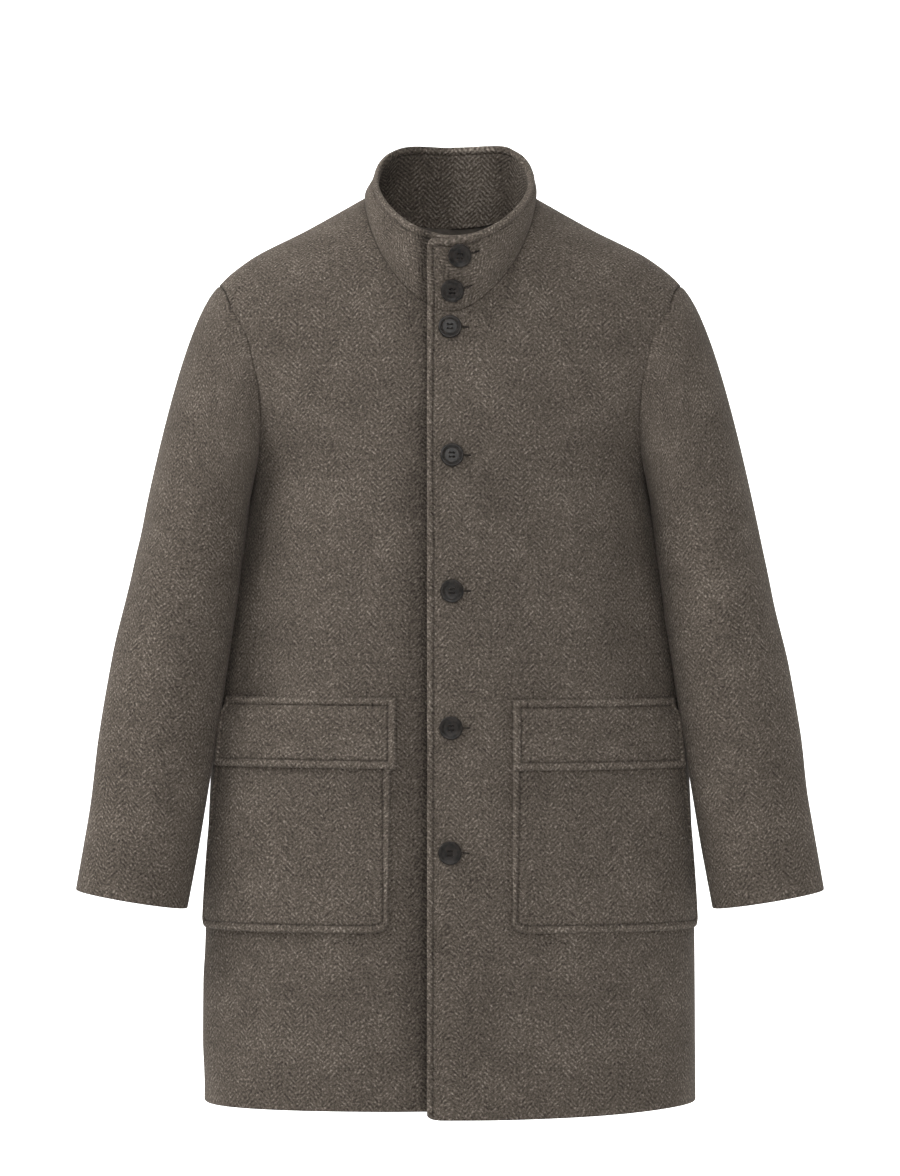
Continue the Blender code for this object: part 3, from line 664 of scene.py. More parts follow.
def arm_ring(turn, z):
    """Oval section of the sleeve at a height, tipped so that it stands square to the arm."""
    angle = np.radians(turn)
    tilt = np.radians(column_curve(SLEEVE, SLEEVE_COLUMNS, "tilt", z))
    out = column_curve(SLEEVE, SLEEVE_COLUMNS, "half_width", z) * np.cos(angle)
    forward = column_curve(SLEEVE, SLEEVE_COLUMNS, "half_depth", z) * np.sin(angle)
    x = column_curve(SLEEVE, SLEEVE_COLUMNS, "centre_x", z) + out * np.cos(tilt)
    y = column_curve(SLEEVE, SLEEVE_COLUMNS, "centre_y", z) - forward
    return np.stack(np.broadcast_arrays(x, y, z + out * np.sin(tilt)), axis=-1)


def sleeve_point(turn, run):
    """Outer surface of the left sleeve; run is 0 at the armhole, 1 at the upper arm and 2 at the cuff."""
    turn, run = np.broadcast_arrays(turn, run)
    angle = np.radians(turn)
    swell = np.stack((CAP_SWELL["out"][0] + CAP_SWELL["out"][1] * np.cos(angle),
                      -CAP_SWELL["forward"] * np.sin(angle),
                      -CAP_SWELL["down"][0] - CAP_SWELL["down"][1] * np.cos(angle)), axis=-1)
    start = torso_point(*armhole_ring(turn)) + SEAM_GAP * (unit(swell) + (1.0, 0.0, 0.0))
    upper_z, cuff_z = SLEEVE[0, 0], SLEEVE[-1, 0]
    cap = np.clip(run, -0.1, 1.0)[..., None]
    upper_arm = arm_ring(turn, np.full(run.shape, upper_z))
    above = (1 - cap) ** 2 * start + 2 * cap * (1 - cap) * (start + swell) + cap ** 2 * upper_arm
    below = arm_ring(turn, upper_z + (cuff_z - upper_z) * np.maximum(run - 1.0, 0.0))
    return np.where(run[..., None] < 1.0, above, below)


def sleeve_normal(turn, run):
    """Outward normal; at the top of the armhole it is the body's own, so the two edges meet."""
    turn, run = np.broadcast_arrays(turn, run)
    normal = surface_normal(sleeve_point, turn, run, *RING_STEPS)
    low, high = SHARED_NORMAL_COSINES
    at_top = np.clip((np.cos(np.radians(turn)) - low) / (high - low), 0.0, 1.0)
    shared = (at_top * (1.0 - ease(run / SHARED_NORMAL_RUN)))[..., None]
    return unit(normal * (1.0 - shared) + torso_normal(*armhole_ring(turn)) * shared)


def sleeve_part(turns):
    def surface(across, up):
        turn = turns[0] + (turns[1] - turns[0]) * across
        run = 2.0 * (1.0 - up)
        return sleeve_point(turn, run), sleeve_normal(turn, run), None
    return surface


# Elbow folds lie across the front of the arm and are stronger on one sleeve than on the other.
TOP_FOLDS = {
    "left": ((205, 330, 120, 372, 16, -3.8), (215, 300, 140, 322, 14, 2.9), (200, 250, 110, 262, 18, -2.9),
             (120, 90, 95, 300, 30, 3.5), (60, 60, 70, 260, 24, -3.2), (170, 60, 150, 200, 26, -3.2)),
    "right": ((200, 352, 105, 380, 18, -3.5), (210, 318, 130, 330, 14, 3.2), (205, 270, 125, 296, 16, -3.2),
              (130, 70, 100, 330, 32, 3.8), (70, 90, 62, 280, 22, -2.9), (175, 40, 160, 190, 24, -2.9)),
}
UNDER_FOLDS = {
    "left": ((15, 330, 75, 350, 12, -2.9), (10, 290, 80, 300, 12, 2.6), (50, 60, 45, 220, 18, -2.6)),
    "right": ((12, 345, 70, 360, 12, -2.6), (14, 305, 84, 322, 12, 2.9), (42, 50, 50, 230, 18, -2.6)),
}
SLEEVE_EDGES = {"left": "seam", "right": "seam", "bottom": "fold", "top": "eased"}
SLEEVE_LINING = {"bottom": CUFF_BAND}
SLEEVE_PARTS = (("top", TOP_SLEEVE_TURNS, TOP_FOLDS), ("under", UNDER_SLEEVE_TURNS, UNDER_FOLDS))
for side in ("left", "right"):
    for part, turns, folds in SLEEVE_PARTS:
        surface = sleeve_part(turns) if side == "left" else mirrored(sleeve_part(turns))
        lay_cloth(f"sleeve_{side}_{part}", surface, SLEEVE_EDGES, folds=folds[side], lining=SLEEVE_LINING,
                  step=SMALL_STEP)

# %% [markdown]
# The funnel collar is a band that stands up from the neck seam, low in front and high behind.
# It has two layers. They share one rounded rim, so each layer curves over towards the other at the top.
# A row of stitches eight millimetres below the rim holds them together and follows the lapped end down.

# %% Collar
RIM = {"centre_x": 4.0, "half_width": 79.0, "centre_y": -25.0, "half_depth": 75.0,
       "middle_z": 5.5, "rise": 51.5, "side_rise": 15.0, "corner_rise": 5.0}
COLLAR_SWELL, COLLAR_SEAM_GAP = 3.0, 0.3
COLLAR_INNER_START, COLLAR_CORNER, COLLAR_HEIGHT = 24.0, 8.0, 80.0
LAYER_GAP, OUTER_TUCK, INNER_TUCK = 0.1, 0.012, 0.06
LAP_RIM_DROP, LAP_RIM_REACH = 6.0, 60.0
COLLAR_SAMPLES, RING_SAMPLES = 500, 2000


def neck_ring(turn):
    """Neck seam all the way round; turn is 0 at the centre front and 90 at the left shoulder."""
    turn = np.mod(turn, 360.0)
    from_front = np.where(turn > 180.0, 360.0 - turn, turn)
    x_front, z_front = front_neck(np.minimum(from_front, 90.0))
    x_back, z_back = back_neck(np.minimum(180.0 - from_front, 90.0))
    in_front = from_front < 90.0
    x = np.where(in_front, x_front, x_back)
    z = np.where(in_front, z_front, z_back)
    body_turn = np.where(in_front, turn_at_x(x, z), 180.0 - turn_at_x(x, z))
    return torso_point(np.where(turn > 180.0, 360.0 - body_turn, body_turn), z)


def rim_ring(turn):
    angle = np.radians(turn)
    x = RIM["centre_x"] + RIM["half_width"] * np.sin(angle)
    y = RIM["centre_y"] - RIM["half_depth"] * np.cos(angle)
    z = RIM["middle_z"] - RIM["rise"] * np.cos(angle) + RIM["side_rise"] * np.sin(angle) ** 2
    behind = np.where(np.cos(angle) < 0.0, np.sin(2.0 * angle) ** 2, 0.0)
    return np.stack((x, y, z + RIM["corner_rise"] * behind), axis=-1)


def collar_base(turn, rise):
    """Funnel from the neck seam (rise 0) to the rim (rise 1), before the lap is lifted."""
    turn, rise = np.broadcast_arrays(turn, rise)
    share = rise[..., None]
    straight = (neck_ring(turn) + (0.0, 0.0, COLLAR_SEAM_GAP)) * (1.0 - share) + rim_ring(turn) * share
    outwards = np.stack((np.sin(np.radians(turn)), -np.cos(np.radians(turn)), 0.0 * turn), axis=-1)
    return straight + outwards * COLLAR_SWELL * 4.0 * share * (1.0 - share)


def collar_normal(turn, rise):
    return surface_normal(collar_base, turn, rise, *RING_STEPS)


def collar_point(turn, rise, offset=0.0):
    """Point on the funnel, lifted where its left end laps over, and moved out by offset."""
    turn, rise = np.broadcast_arrays(turn, rise)
    forward = lap_lift(neck_ring(turn)[..., 0:1]) * (0.0, -1.0, 0.0)
    forward = np.where((turn < 180.0)[..., None], forward, 0.0)
    return collar_base(turn, rise) + forward + collar_normal(turn, rise) * offset


def even_turns(first, last):
    """Function from a share of the neck seam's length to its turn."""
    fine = np.linspace(first, last, RING_SAMPLES)
    length = arc(neck_ring(fine)[None], 1)[0]
    return (lambda share: np.interp(share * length[-1], length, fine)), float(length[-1])


def collar_layer(first, low, offset, outward, corner, drop):
    """One layer of the collar, up to the rim; laid flat it is an arc of a ring, as a cone is."""
    turns, length = even_turns(first, 360.0 + float(lap_turn(UNDERLAP_EDGE_X)))
    shares = np.linspace(0.0, 1.0, COLLAR_SAMPLES)
    back_share = float(np.interp(180.0, turns(shares), shares))
    rim_length = arc(rim_ring(turns(shares))[None], 1)[0, -1]
    sweep = COLLAR_HEIGHT * length / (length - rim_length)

    def surface(across, up):
        lower = corner_rise(across * length, corner) + drop * (1.0 - ease(across * length / LAP_RIM_REACH))
        high = 1.0 - lower / COLLAR_HEIGHT
        rise = low + (high - low) * up
        turn = turns(across)
        angle = (across - back_share) * length / sweep
        radius = sweep - rise * COLLAR_HEIGHT
        flat = np.stack((radius * np.sin(angle), sweep - radius * np.cos(angle)), axis=-1)
        return collar_point(turn, rise, offset), collar_normal(turn, rise) * outward, flat
    return surface


COLLAR_EDGES = {"left": "stitched", "right": "seam", "bottom": "sewn", "top": "rim"}
INNER_COLLAR_EDGES = {"left": "seam", "right": "seam", "bottom": "seam", "top": "rim"}
COLLAR_FOLDS = ((338, 58, 197, 221, 20, -5.0), (-170, 46, -121, 97, 22, -1.8),
                (-69, 11, -48, 88, 26, 2.0), (125, 29, 92, 93, 24, -2.0))
# Painted shade on the under collar beside the lapped end.
COLLAR_SHADES = ((338, 36, 180, 227, 7, 4.0),)
INNER_COLLAR_FOLDS = ((338, 58, 197, 221, 20, 5.0), (20, 5, 30, 85, 24, 1.4),
                      (-76, -87, -36, 171, 12, -2.4))
# Inside the collar: painted shade at the left and along one fold, and a painted lighter band in the middle.
INNER_COLLAR_SHADES = ((124, -77, 59, 175, 38, 3.2), (-76, -87, -36, 171, 10, 1.6),
                       (-20, -90, -18, 170, 26, -2.0))
LAYER_DEPTH = 2.0 * COLLAR_WALL + LAYER_GAP
outer_layer = collar_layer(float(lap_turn(LAP_EDGE_X)), -OUTER_TUCK, 0.0, 1.0, COLLAR_CORNER, LAP_RIM_DROP)
inner_layer = collar_layer(float(lap_turn(COLLAR_INNER_START)), -INNER_TUCK, -LAYER_DEPTH, -1.0,
                           SQUARE_CORNER, 0.0)
lay_cloth("collar_outer", outer_layer, COLLAR_EDGES, COLLAR_WALL, COLLAR_STEP, COLLAR_FOLDS, COLLAR_SHADES)
lay_cloth("collar_inner", inner_layer, INNER_COLLAR_EDGES, COLLAR_WALL, COLLAR_STEP, INNER_COLLAR_FOLDS,
          INNER_COLLAR_SHADES, finish=COLLAR_WOOL)

# %% [markdown]
# Inside the back neck, just below the inner collar, a smooth dark strip of lining shows.
# It lies against the back panel, so it is the body's surface moved inwards, seen from its other side.

# %% Neck facing
FACING = {"half_turn": 24.0, "drop": 1.0, "height": 55.0}
FACING_GAP, FACING_SAMPLES = 1.6, 400
facing_x, facing_z = back_neck(np.linspace(0.0, 90.0, FACING_SAMPLES))
FACING_TURNS = turn_at_x(facing_x, facing_z)


def neck_strip(across, up):
    turn = 180.0 + FACING["half_turn"] * (2.0 * across - 1.0)
    seam_z = np.interp(np.abs(180.0 - turn), FACING_TURNS, facing_z)
    z = seam_z - FACING["drop"] - FACING["height"] * (1.0 - up)
    normal = torso_normal(turn, z)
    return torso_point(turn, z) - normal * (WALL + FACING_GAP + FACING_WALL), -normal, None


FACING_EDGES = dict.fromkeys(SIDES, "seam")
lay_cloth("neck_facing", neck_strip, FACING_EDGES, FACING_WALL, SMALL_STEP, finish=LINING)

# %% [markdown]
# Patch pockets are squares of the same cloth sewn flat on the fronts, with rounded lower corners.
# A flap is sewn above each and hangs over its mouth.
# Their edges are turned in double, so they stand up from the front.
# Both are the front's own surface moved outwards, so they follow the body as sewn cloth does.

# %% Pockets and flaps
PATCH_GAP, PATCH_WALL, FLAP_WALL = 0.4, 5.4, 4.2
POCKET_COLUMNS = ("side", "inner_top_x", "inner_bottom_x", "flap_inner_x", "top_z")
POCKETS = {
    "left": dict(zip(POCKET_COLUMNS, (1, 62.0, 62.0, 62.0, -509.0))),
    "right": dict(zip(POCKET_COLUMNS, (-1, 58.0, 62.0, 53.0, -507.0))),
}
POCKET_OUTER_TURNS = (69.0, 78.0)
POCKET_BOTTOM_Z, POCKET_CORNER, POCKET_WIDTH = -741.0, 10.0, 187.0
FLAP_HEIGHT, FLAP_STEP = 71.0, 22.0
# The flap bends out over the pocket's top edge in this part of the step, as (start, run).
FLAP_BEND = (0.3, 0.6)


def pocket_patch(sizes):
    def surface(across, up):
        from_side = np.minimum(across, 1.0 - across) * POCKET_WIDTH
        bottom = POCKET_BOTTOM_Z + corner_rise(from_side, POCKET_CORNER)
        top = sizes["top_z"] - FLAP_STEP
        z = bottom + (top - bottom) * up
        down = (top - z) / (top - POCKET_BOTTOM_Z)
        inner_x = sizes["inner_top_x"] + (sizes["inner_bottom_x"] - sizes["inner_top_x"]) * down
        outer_turn = POCKET_OUTER_TURNS[0] + (POCKET_OUTER_TURNS[1] - POCKET_OUTER_TURNS[0]) * down
        inner_turn = turn_at_x(inner_x, z)
        turn = inner_turn + (outer_turn - inner_turn) * across
        points = front_point(turn, z, sizes["side"] > 0, np.full(z.shape, PATCH_GAP + PATCH_WALL))
        return points, torso_normal(turn, z), body_flat(turn, z, 0.0)
    return surface if sizes["side"] > 0 else mirrored(surface)


def pocket_flap(sizes):
    def surface(across, up):
        drop = FLAP_HEIGHT * (1.0 - up)
        z = sizes["top_z"] - drop
        bend = ease((drop - FLAP_BEND[0] * FLAP_STEP) / (FLAP_BEND[1] * FLAP_STEP))
        seat = PATCH_GAP + (PATCH_WALL + PATCH_GAP) * bend
        inner_turn = turn_at_x(sizes["flap_inner_x"], z)
        turn = inner_turn + (POCKET_OUTER_TURNS[0] - inner_turn) * across
        points = front_point(turn, z, sizes["side"] > 0, seat + FLAP_WALL)
        return points, torso_normal(turn, z), body_flat(turn, z, 0.0)
    return surface if sizes["side"] > 0 else mirrored(surface)


PATCH_EDGES = {"left": "stitched", "right": "stitched", "bottom": "stitched", "top": "fold"}
FLAP_EDGES = dict.fromkeys(SIDES, "stitched")
PATCH_FOLDS = {"left": ((100, 215, 120, 345, 26, 2.6), (175, 205, 165, 320, 28, -2.2)),
               "right": ((110, 205, 105, 330, 30, -2.2), (185, 225, 195, 345, 26, 2.6))}
FLAP_FOLDS = {"left": ((85, 365, 215, 372, 10, 1.0),), "right": ((95, 368, 205, 362, 12, 1.0),)}
for name, sizes in POCKETS.items():
    lay_cloth("pocket_" + name, pocket_patch(sizes), PATCH_EDGES, PATCH_WALL, SMALL_STEP, PATCH_FOLDS[name])
    lay_cloth("flap_" + name, pocket_flap(sizes), FLAP_EDGES, FLAP_WALL, SMALL_STEP, FLAP_FOLDS[name])

# %% [markdown]
# Topstitching is thread that dips into the cloth and comes up again every few millimetres.
# We already know where each stitch line runs: it is the grid line eight millimetres from an edge.
# So we walk along that line and set down one small spindle of thread for each stitch.

# %% Topstitching
STITCH_PITCH, STITCH_LENGTH, STITCH_RADIUS, STITCH_RAISE = 4.0, 3.0, 0.32, 0.1
STITCH_WAIST, DIRECTION_STEP = 0.3, 0.5
LINE = NEAR_EDGE["stitched"].index(STITCH_INSET)
RIM_LINE = NEAR_EDGE["rim"].index(STITCH_INSET)
STITCH_FACES = ((0, 1, 2), (0, 2, 3), (0, 3, 4), (0, 4, 1),
                (1, 5, 6, 2), (2, 6, 7, 3), (3, 7, 8, 4), (4, 8, 5, 1),
                (9, 6, 5), (9, 7, 6), (9, 8, 7), (9, 5, 8))


def stitch_lines(lay):
    """Points and normals of each stitch line of a piece."""
    outer, normal, edges = lay["outer"], lay["normal"], lay["edges"]
    first = LINE if edges["left"] == "stitched" else 0
    last = outer.shape[1] - (LINE if edges["right"] == "stitched" else 0)
    low = LINE if edges["bottom"] == "stitched" else 0
    top_line = RIM_LINE if edges["top"] == "rim" else LINE
    high = outer.shape[0] - (top_line if edges["top"] in ("rim", "stitched") else 0)
    places = {"left": (slice(low, high), LINE), "right": (slice(low, high), -1 - LINE),
              "bottom": (LINE, slice(first, last)), "top": (-1 - top_line, slice(first, last))}
    return [(outer[places[side]], normal[places[side]]) for side, kind in edges.items()
            if kind in ("stitched", "rim")]


def along_line(wanted, length, values):
    """Values at the wanted distances along a line."""
    return np.stack([np.interp(wanted, length, values[:, axis]) for axis in range(3)], axis=-1)


def stitch_mesh(name, lines):
    vertices, faces = [], []
    for points, normals in lines:
        length = arc(points[None], 1)[0]
        middles = np.arange(0.5 * STITCH_PITCH, length[-1], STITCH_PITCH)
        up = unit(along_line(middles, length, normals))
        ahead = along_line(middles + DIRECTION_STEP, length, points)
        behind = along_line(middles - DIRECTION_STEP, length, points)
        along = unit(ahead - behind)
        aside = unit(np.cross(along, up))
        centre = along_line(middles, length, points) + up * STITCH_RAISE
        tip, waist = 0.5 * STITCH_LENGTH * along, STITCH_WAIST * STITCH_LENGTH * along
        ring = (up * STITCH_RADIUS, aside * STITCH_RADIUS, -up * STITCH_RADIUS, -aside * STITCH_RADIUS)
        corners = [centre - tip - up * STITCH_RADIUS]
        corners += [centre - waist + part for part in ring]
        corners += [centre + waist + part for part in ring]
        corners += [centre + tip - up * STITCH_RADIUS]
        for stitch in np.stack(corners, axis=1):
            base = len(vertices)
            vertices.extend((stitch * MM).tolist())
            faces.extend([[base + corner for corner in face] for face in STITCH_FACES])
    mesh = bpy.data.meshes.new(name)
    mesh.from_pydata(vertices, [], faces)
    form = bmesh.new()
    form.from_mesh(mesh)
    bmesh.ops.recalc_face_normals(form, faces=form.faces)
    form.to_mesh(mesh)
    form.free()
    mesh.shade_smooth()
    mesh.materials.append(THREAD)
    return mesh


SEWN = ("front_left", "collar_outer", "collar_inner",
        "pocket_left", "pocket_right", "flap_left", "flap_right")
threads = {}
for node in SEWN:
    mesh = stitch_mesh("stitches_" + node, stitch_lines(garment[node]))
    threads[node] = bpy.data.objects.new(mesh.name, mesh)
    bpy.context.scene.collection.objects.link(threads[node])
    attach(threads[node], "root")
    print(mesh.name, "stitches", len(mesh.polygons) // len(STITCH_FACES))

# %% [markdown]
# The coat closes with seven four-hole buttons turned from dark horn.
# We model one by hand: a disc whose top is inset and sunk to a dish with a raised rim.
# Its edges are bevelled.
# Four small cylinders cut the holes, and two bars of thread cross between them.

# %% One button
BUTTON_RADIUS, BUTTON_HEIGHT = 0.0117, 0.0042
RIM_WIDTH, DISH_DEPTH, SLOPE_WIDTH = 0.0022, 0.0010, 0.0018
HOLE_RADIUS, HOLE_OFFSET = 0.0012, 0.0021
BEVEL_WIDTH, BEVEL_STEPS, BEVEL_ANGLE, SMOOTH_ANGLE = 0.0013, 4, 12.0, 35.0
BAR_RADIUS, BAR_STRETCH = 0.001, (2.6, 0.75, 0.5)


def height_and_area(face):
    """Sorting key that puts the highest face last, and the larger of two at one height."""
    return round(face.calc_center_median().z, 6), face.calc_area()


def select_top(target):
    """Selects only the highest face of the object in edit mode."""
    form = bmesh.from_edit_mesh(target.data)
    for face in form.faces:
        face.select_set(False)
    max(form.faces, key=height_and_area).select_set(True)
    bmesh.update_edit_mesh(target.data)


bpy.ops.object.select_all(action="DESELECT")
bpy.ops.mesh.primitive_cylinder_add(vertices=48, radius=BUTTON_RADIUS, depth=BUTTON_HEIGHT,
                                    location=(0.0, 0.0, 0.5 * BUTTON_HEIGHT))
blank = bpy.context.object
bpy.ops.object.transform_apply(location=True, rotation=True, scale=True)
bpy.ops.object.mode_set(mode="EDIT")
select_top(blank)
bpy.ops.mesh.inset(thickness=RIM_WIDTH)
bpy.ops.mesh.inset(thickness=SLOPE_WIDTH)
bpy.ops.transform.translate(value=(0.0, 0.0, -DISH_DEPTH))
bpy.ops.object.mode_set(mode="OBJECT")
softened = blank.modifiers.new("softened edges", "BEVEL")
softened.width = BEVEL_WIDTH
softened.segments = BEVEL_STEPS
softened.limit_method = "ANGLE"
softened.angle_limit = math.radians(BEVEL_ANGLE)
bpy.ops.object.modifier_apply(modifier=softened.name)
blank.data.materials.append(HORN)
for hole_x, hole_y in ((-1, -1), (-1, 1), (1, -1), (1, 1)):
    bpy.ops.object.select_all(action="DESELECT")
    bpy.ops.mesh.primitive_cylinder_add(vertices=16, radius=HOLE_RADIUS, depth=4.0 * BUTTON_HEIGHT,
                                        location=(hole_x * HOLE_OFFSET, hole_y * HOLE_OFFSET, 0.0))
    drill = bpy.context.object
    bpy.ops.object.select_all(action="DESELECT")
    blank.select_set(True)
    bpy.context.view_layer.objects.active = blank
    cut = blank.modifiers.new("hole", "BOOLEAN")
    cut.operation = "DIFFERENCE"
    cut.object = drill
    bpy.ops.object.modifier_apply(modifier=cut.name)
    bpy.data.objects.remove(drill, do_unlink=True)
bpy.ops.object.shade_smooth_by_angle(angle=math.radians(SMOOTH_ANGLE))
bars = []
for side in (-1, 1):
    bpy.ops.object.select_all(action="DESELECT")
    bpy.ops.mesh.primitive_uv_sphere_add(segments=12, ring_count=8, radius=BAR_RADIUS)
    bar = bpy.context.object
    bpy.ops.transform.resize(value=BAR_STRETCH)
    bar.location = (0.0, side * HOLE_OFFSET, BUTTON_HEIGHT - DISH_DEPTH)
    bpy.ops.object.transform_apply(location=True, rotation=True, scale=True)
    bpy.ops.object.shade_smooth()
    bar.data.materials.append(DARK_THREAD)
    bars.append(bar)
bpy.ops.object.select_all(action="DESELECT")
for bar in bars:
    bar.select_set(True)
blank.select_set(True)
bpy.context.view_layer.objects.active = blank
bpy.ops.object.join()
button_model = blank.data
print("button faces:", len(button_model.polygons))

# %% [markdown]
# Each button stands on the lapped front or collar, its face square to the cloth.
# Beside it the end of its buttonhole shows: a slit bound with thread, which runs a little past the button.
# We copy the button to seven places, and draw each buttonhole as a tube of thread round a thin loop.

# %% Buttons and buttonholes
COLLAR_BUTTON_PLACES = ((5.0, 0.72), (1.0, 0.27))
FRONT_BUTTON_PLACES = ((0.0, -137.0), (2.0, -266.0), (2.0, -401.0), (1.0, -537.0), (0.0, -661.0))
HOLE_START, HOLE_END, HOLE_HALF_HEIGHT = -9.0, 19.0, 0.7
BINDING_RADIUS, LOOP_STEPS, TUBE_STEPS, LOOP_POWER = 0.4, 36, 6, 0.5
BUTTON_SEAT = 0.3


def on_collar(x, rise):
    turn = lap_turn(x)
    return collar_point(turn, rise), collar_normal(turn, rise)


def on_front(x, z):
    turn = turn_at_x(x, z)
    return front_point(turn, z, True), torso_normal(turn, z)


def button_frame(seat, normal):
    """Matrix that stands the button on its seat, with one pair of holes level."""
    x_axis = unit(np.array((1.0, 0.0, 0.0)) - normal * normal[0])
    y_axis = np.cross(normal, x_axis)
    place = (seat + normal * BUTTON_SEAT) * MM
    upper = np.stack((x_axis, y_axis, normal, place), axis=1)
    return Matrix(upper.tolist() + [[0.0, 0.0, 0.0, 1.0]])


def hole_loop(x, height, place):
    """Tube of thread round the slit, lying on the cloth."""
    angle = np.linspace(0.0, 2.0 * np.pi, LOOP_STEPS, endpoint=False)
    half = 0.5 * (HOLE_END - HOLE_START)
    loop_x = x + HOLE_START + half + half * signed_power(np.cos(angle), LOOP_POWER)
    points, normals = place(loop_x, np.full(LOOP_STEPS, height))
    points = points + np.cross(normals, (1.0, 0.0, 0.0)) * (HOLE_HALF_HEIGHT * np.sin(angle))[:, None]
    along = unit(np.roll(points, -1, axis=0) - np.roll(points, 1, axis=0))
    aside = unit(np.cross(along, normals))
    around = np.linspace(0.0, 2.0 * np.pi, TUBE_STEPS, endpoint=False)[None, :, None]
    ring = np.cos(around) * aside[:, None] + np.sin(around) * normals[:, None]
    return (points[:, None] + BINDING_RADIUS * ring).reshape(-1, 3)


index = np.arange(LOOP_STEPS * TUBE_STEPS).reshape(LOOP_STEPS, TUBE_STEPS)
ahead, beside = np.roll(index, -1, 0), np.roll(index, -1, 1)
loop_faces = np.stack((index, ahead, np.roll(ahead, -1, 1), beside), axis=-1).reshape(-1, 4)
places = [(x, rise, on_collar) for x, rise in COLLAR_BUTTON_PLACES]
places += [(x, z, on_front) for x, z in FRONT_BUTTON_PLACES]
for number, (x, height, place) in enumerate(places, 1):
    seat, normal = place(np.array(x), np.array(height))
    mesh = button_model.copy()
    mesh.name = f"horn_button_{number}"
    mesh.transform(button_frame(seat, normal))
    button = bpy.data.objects.new(mesh.name, mesh)
    bpy.context.scene.collection.objects.link(button)
    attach(button, "root")
    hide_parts(f"button_{number}")
    binding = bpy.data.meshes.new(f"buttonhole_{number}")
    binding.from_pydata((hole_loop(x, height, place) * MM).tolist(), [], loop_faces.tolist())
    binding.shade_smooth()
    binding.materials.append(DARK_THREAD)
    hole = bpy.data.objects.new(binding.name, binding)
    bpy.context.scene.collection.objects.link(hole)
    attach(hole, "root")
bpy.data.objects.remove(blank, do_unlink=True)
print("buttons:", len(places))

# %% [markdown]
# The flat size of each cloth piece is printed with its area on the finished coat.
# The sizes are the grid's own arc lengths, which is how a pattern cutter measures a draped piece.

# %% Cloth sheets
for node, lay in garment.items():
    print(node, "flat", [round(value, 3) for value in lay["flat"]], "area", round(lay["area"], 4))

# %% [markdown]
# A garment is photographed in a white room with broad, soft lights, so that the eye goes to the cloth.
# The floor curves up into the wall behind, which leaves no line between them.
# A broad light far to the left models the sleeves, and one near the camera keeps the shadows open.

# %% Stage, lights and camera
FLOOR_Z, WALL_Y, ROOM, WALL_HEIGHT = -1.12, 7.0, 16.0, 6.0
COVE_RADIUS, COVE_STEPS, NEAR_FLOOR = 1.2, 16, 0.1
GLOW_ALONG, GLOW_ASIDE = (0.6, 2.0), (3.4, 1.3)
LIGHT_TARGET, WORLD_GLOW = (0.0, 0.0, -0.4), 0.07
CAMERA_PLACE, CAMERA_LENS, CAMERA_SENSOR = (0.0, -4.5, -0.398), 135.0, 36.0


def select_edges(target, wanted):
    """Selects the edges of the object in edit mode whose two ends are both wanted."""
    form = bmesh.from_edit_mesh(target.data)
    for edge in form.edges:
        edge.select_set(all(wanted(vertex.co) for vertex in edge.verts))
    bmesh.update_edit_mesh(target.data)


bpy.ops.object.select_all(action="DESELECT")
bpy.ops.mesh.primitive_plane_add(size=ROOM, location=(0.0, WALL_Y - 0.5 * ROOM, FLOOR_Z))
room = bpy.context.object
room.name = "studio_cove"
bpy.ops.object.mode_set(mode="EDIT")
select_edges(room, lambda place: place.y > 0.0)
bpy.ops.mesh.extrude_region_move(TRANSFORM_OT_translate={"value": (0.0, 0.0, WALL_HEIGHT)})
select_edges(room, lambda place: place.y > 0.0 and place.z < NEAR_FLOOR)
bpy.ops.mesh.bevel(offset=COVE_RADIUS, segments=COVE_STEPS)
bpy.ops.object.mode_set(mode="OBJECT")
bpy.ops.object.shade_smooth()
COVE, cove_shader = new_material("white_cove", roughness=0.9, specular=0.1)
cove_tree = COVE.node_tree
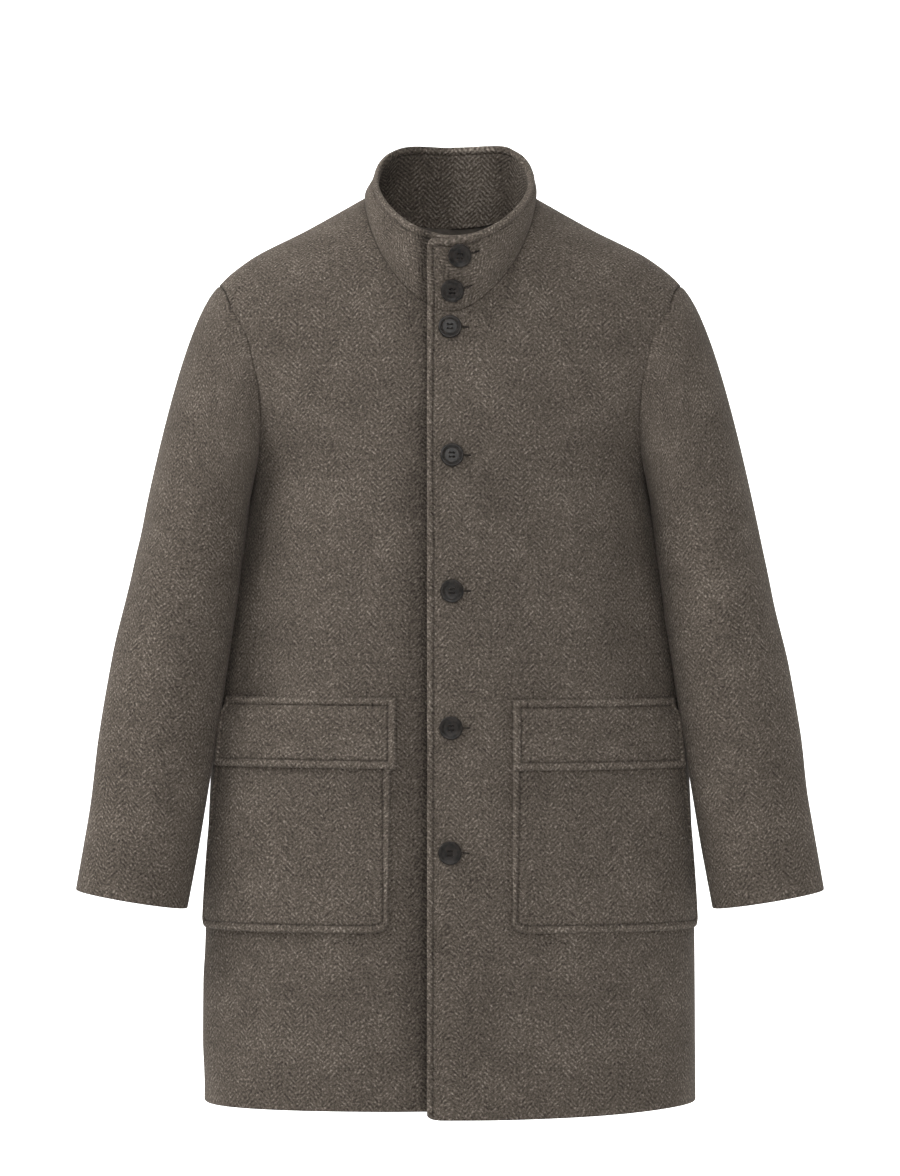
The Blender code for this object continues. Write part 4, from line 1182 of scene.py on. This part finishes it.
# White paper that glows where it is seen behind the coat, so that it prints as plain white there.
cove_shader.inputs["Base Color"].default_value = linear("f4f4f4")
cove_shader.inputs["Emission Color"].default_value = (1.0, 1.0, 1.0, 1.0)
cove_place = add_node(cove_tree, "ShaderNodeTexCoord")
cove_axes = add_node(cove_tree, "ShaderNodeSeparateXYZ", {}, {0: (cove_place, "Object")})
cove_aside = add_node(cove_tree, "ShaderNodeMath", {"operation": "ABSOLUTE"}, {0: (cove_axes, 0)})
cove_width = add_node(cove_tree, "ShaderNodeMapRange", {"interpolation_type": "SMOOTHSTEP"},
                      {0: (cove_aside, 0), 1: GLOW_ASIDE[0], 2: GLOW_ASIDE[1]})
cove_glow = add_node(cove_tree, "ShaderNodeMapRange", {"interpolation_type": "SMOOTHSTEP"},
                     {0: (cove_axes, 1), 1: GLOW_ALONG[0], 2: GLOW_ALONG[1], 4: (cove_width, 0)})
cove_tree.links.new(cove_glow.outputs[0], cove_shader.inputs["Emission Strength"])
room.data.materials.append(COVE)


def add_light(name, location, size, power):
    light = bpy.data.lights.new(name, "AREA")
    light.size = size
    light.energy = power
    lamp = bpy.data.objects.new(name, light)
    bpy.context.scene.collection.objects.link(lamp)
    lamp.location = location
    aim = np.array(LIGHT_TARGET) - np.array(location)
    tip = math.atan2(math.hypot(aim[0], aim[1]), -aim[2])
    lamp.rotation_euler = (tip, 0.0, math.atan2(-aim[0], aim[1]))


add_light("key", (-3.2, -0.9, 2.2), size=1.8, power=112.0)
add_light("front", (0.2, -4.4, 1.2), size=1.6, power=66.0)
add_light("top", (-0.3, -0.6, 2.2), size=1.6, power=4.0)
world = bpy.data.worlds.new("studio")
bpy.context.scene.world = world
world.use_nodes = True
world.node_tree.nodes["Background"].inputs["Color"].default_value = (1.0, 1.0, 1.0, 1.0)
world.node_tree.nodes["Background"].inputs["Strength"].default_value = WORLD_GLOW
bpy.context.scene.view_settings.view_transform = "Standard"

lens = bpy.data.cameras.new("camera")
lens.lens = CAMERA_LENS
lens.sensor_width = CAMERA_SENSOR
camera = bpy.data.objects.new("camera", lens)
bpy.context.scene.collection.objects.link(camera)
camera.location = CAMERA_PLACE
camera.rotation_euler = (math.radians(90.0), 0.0, 0.0)
bpy.context.scene.camera = camera
print("stage:", room.name, "camera:", CAMERA_PLACE, "lens:", CAMERA_LENS)
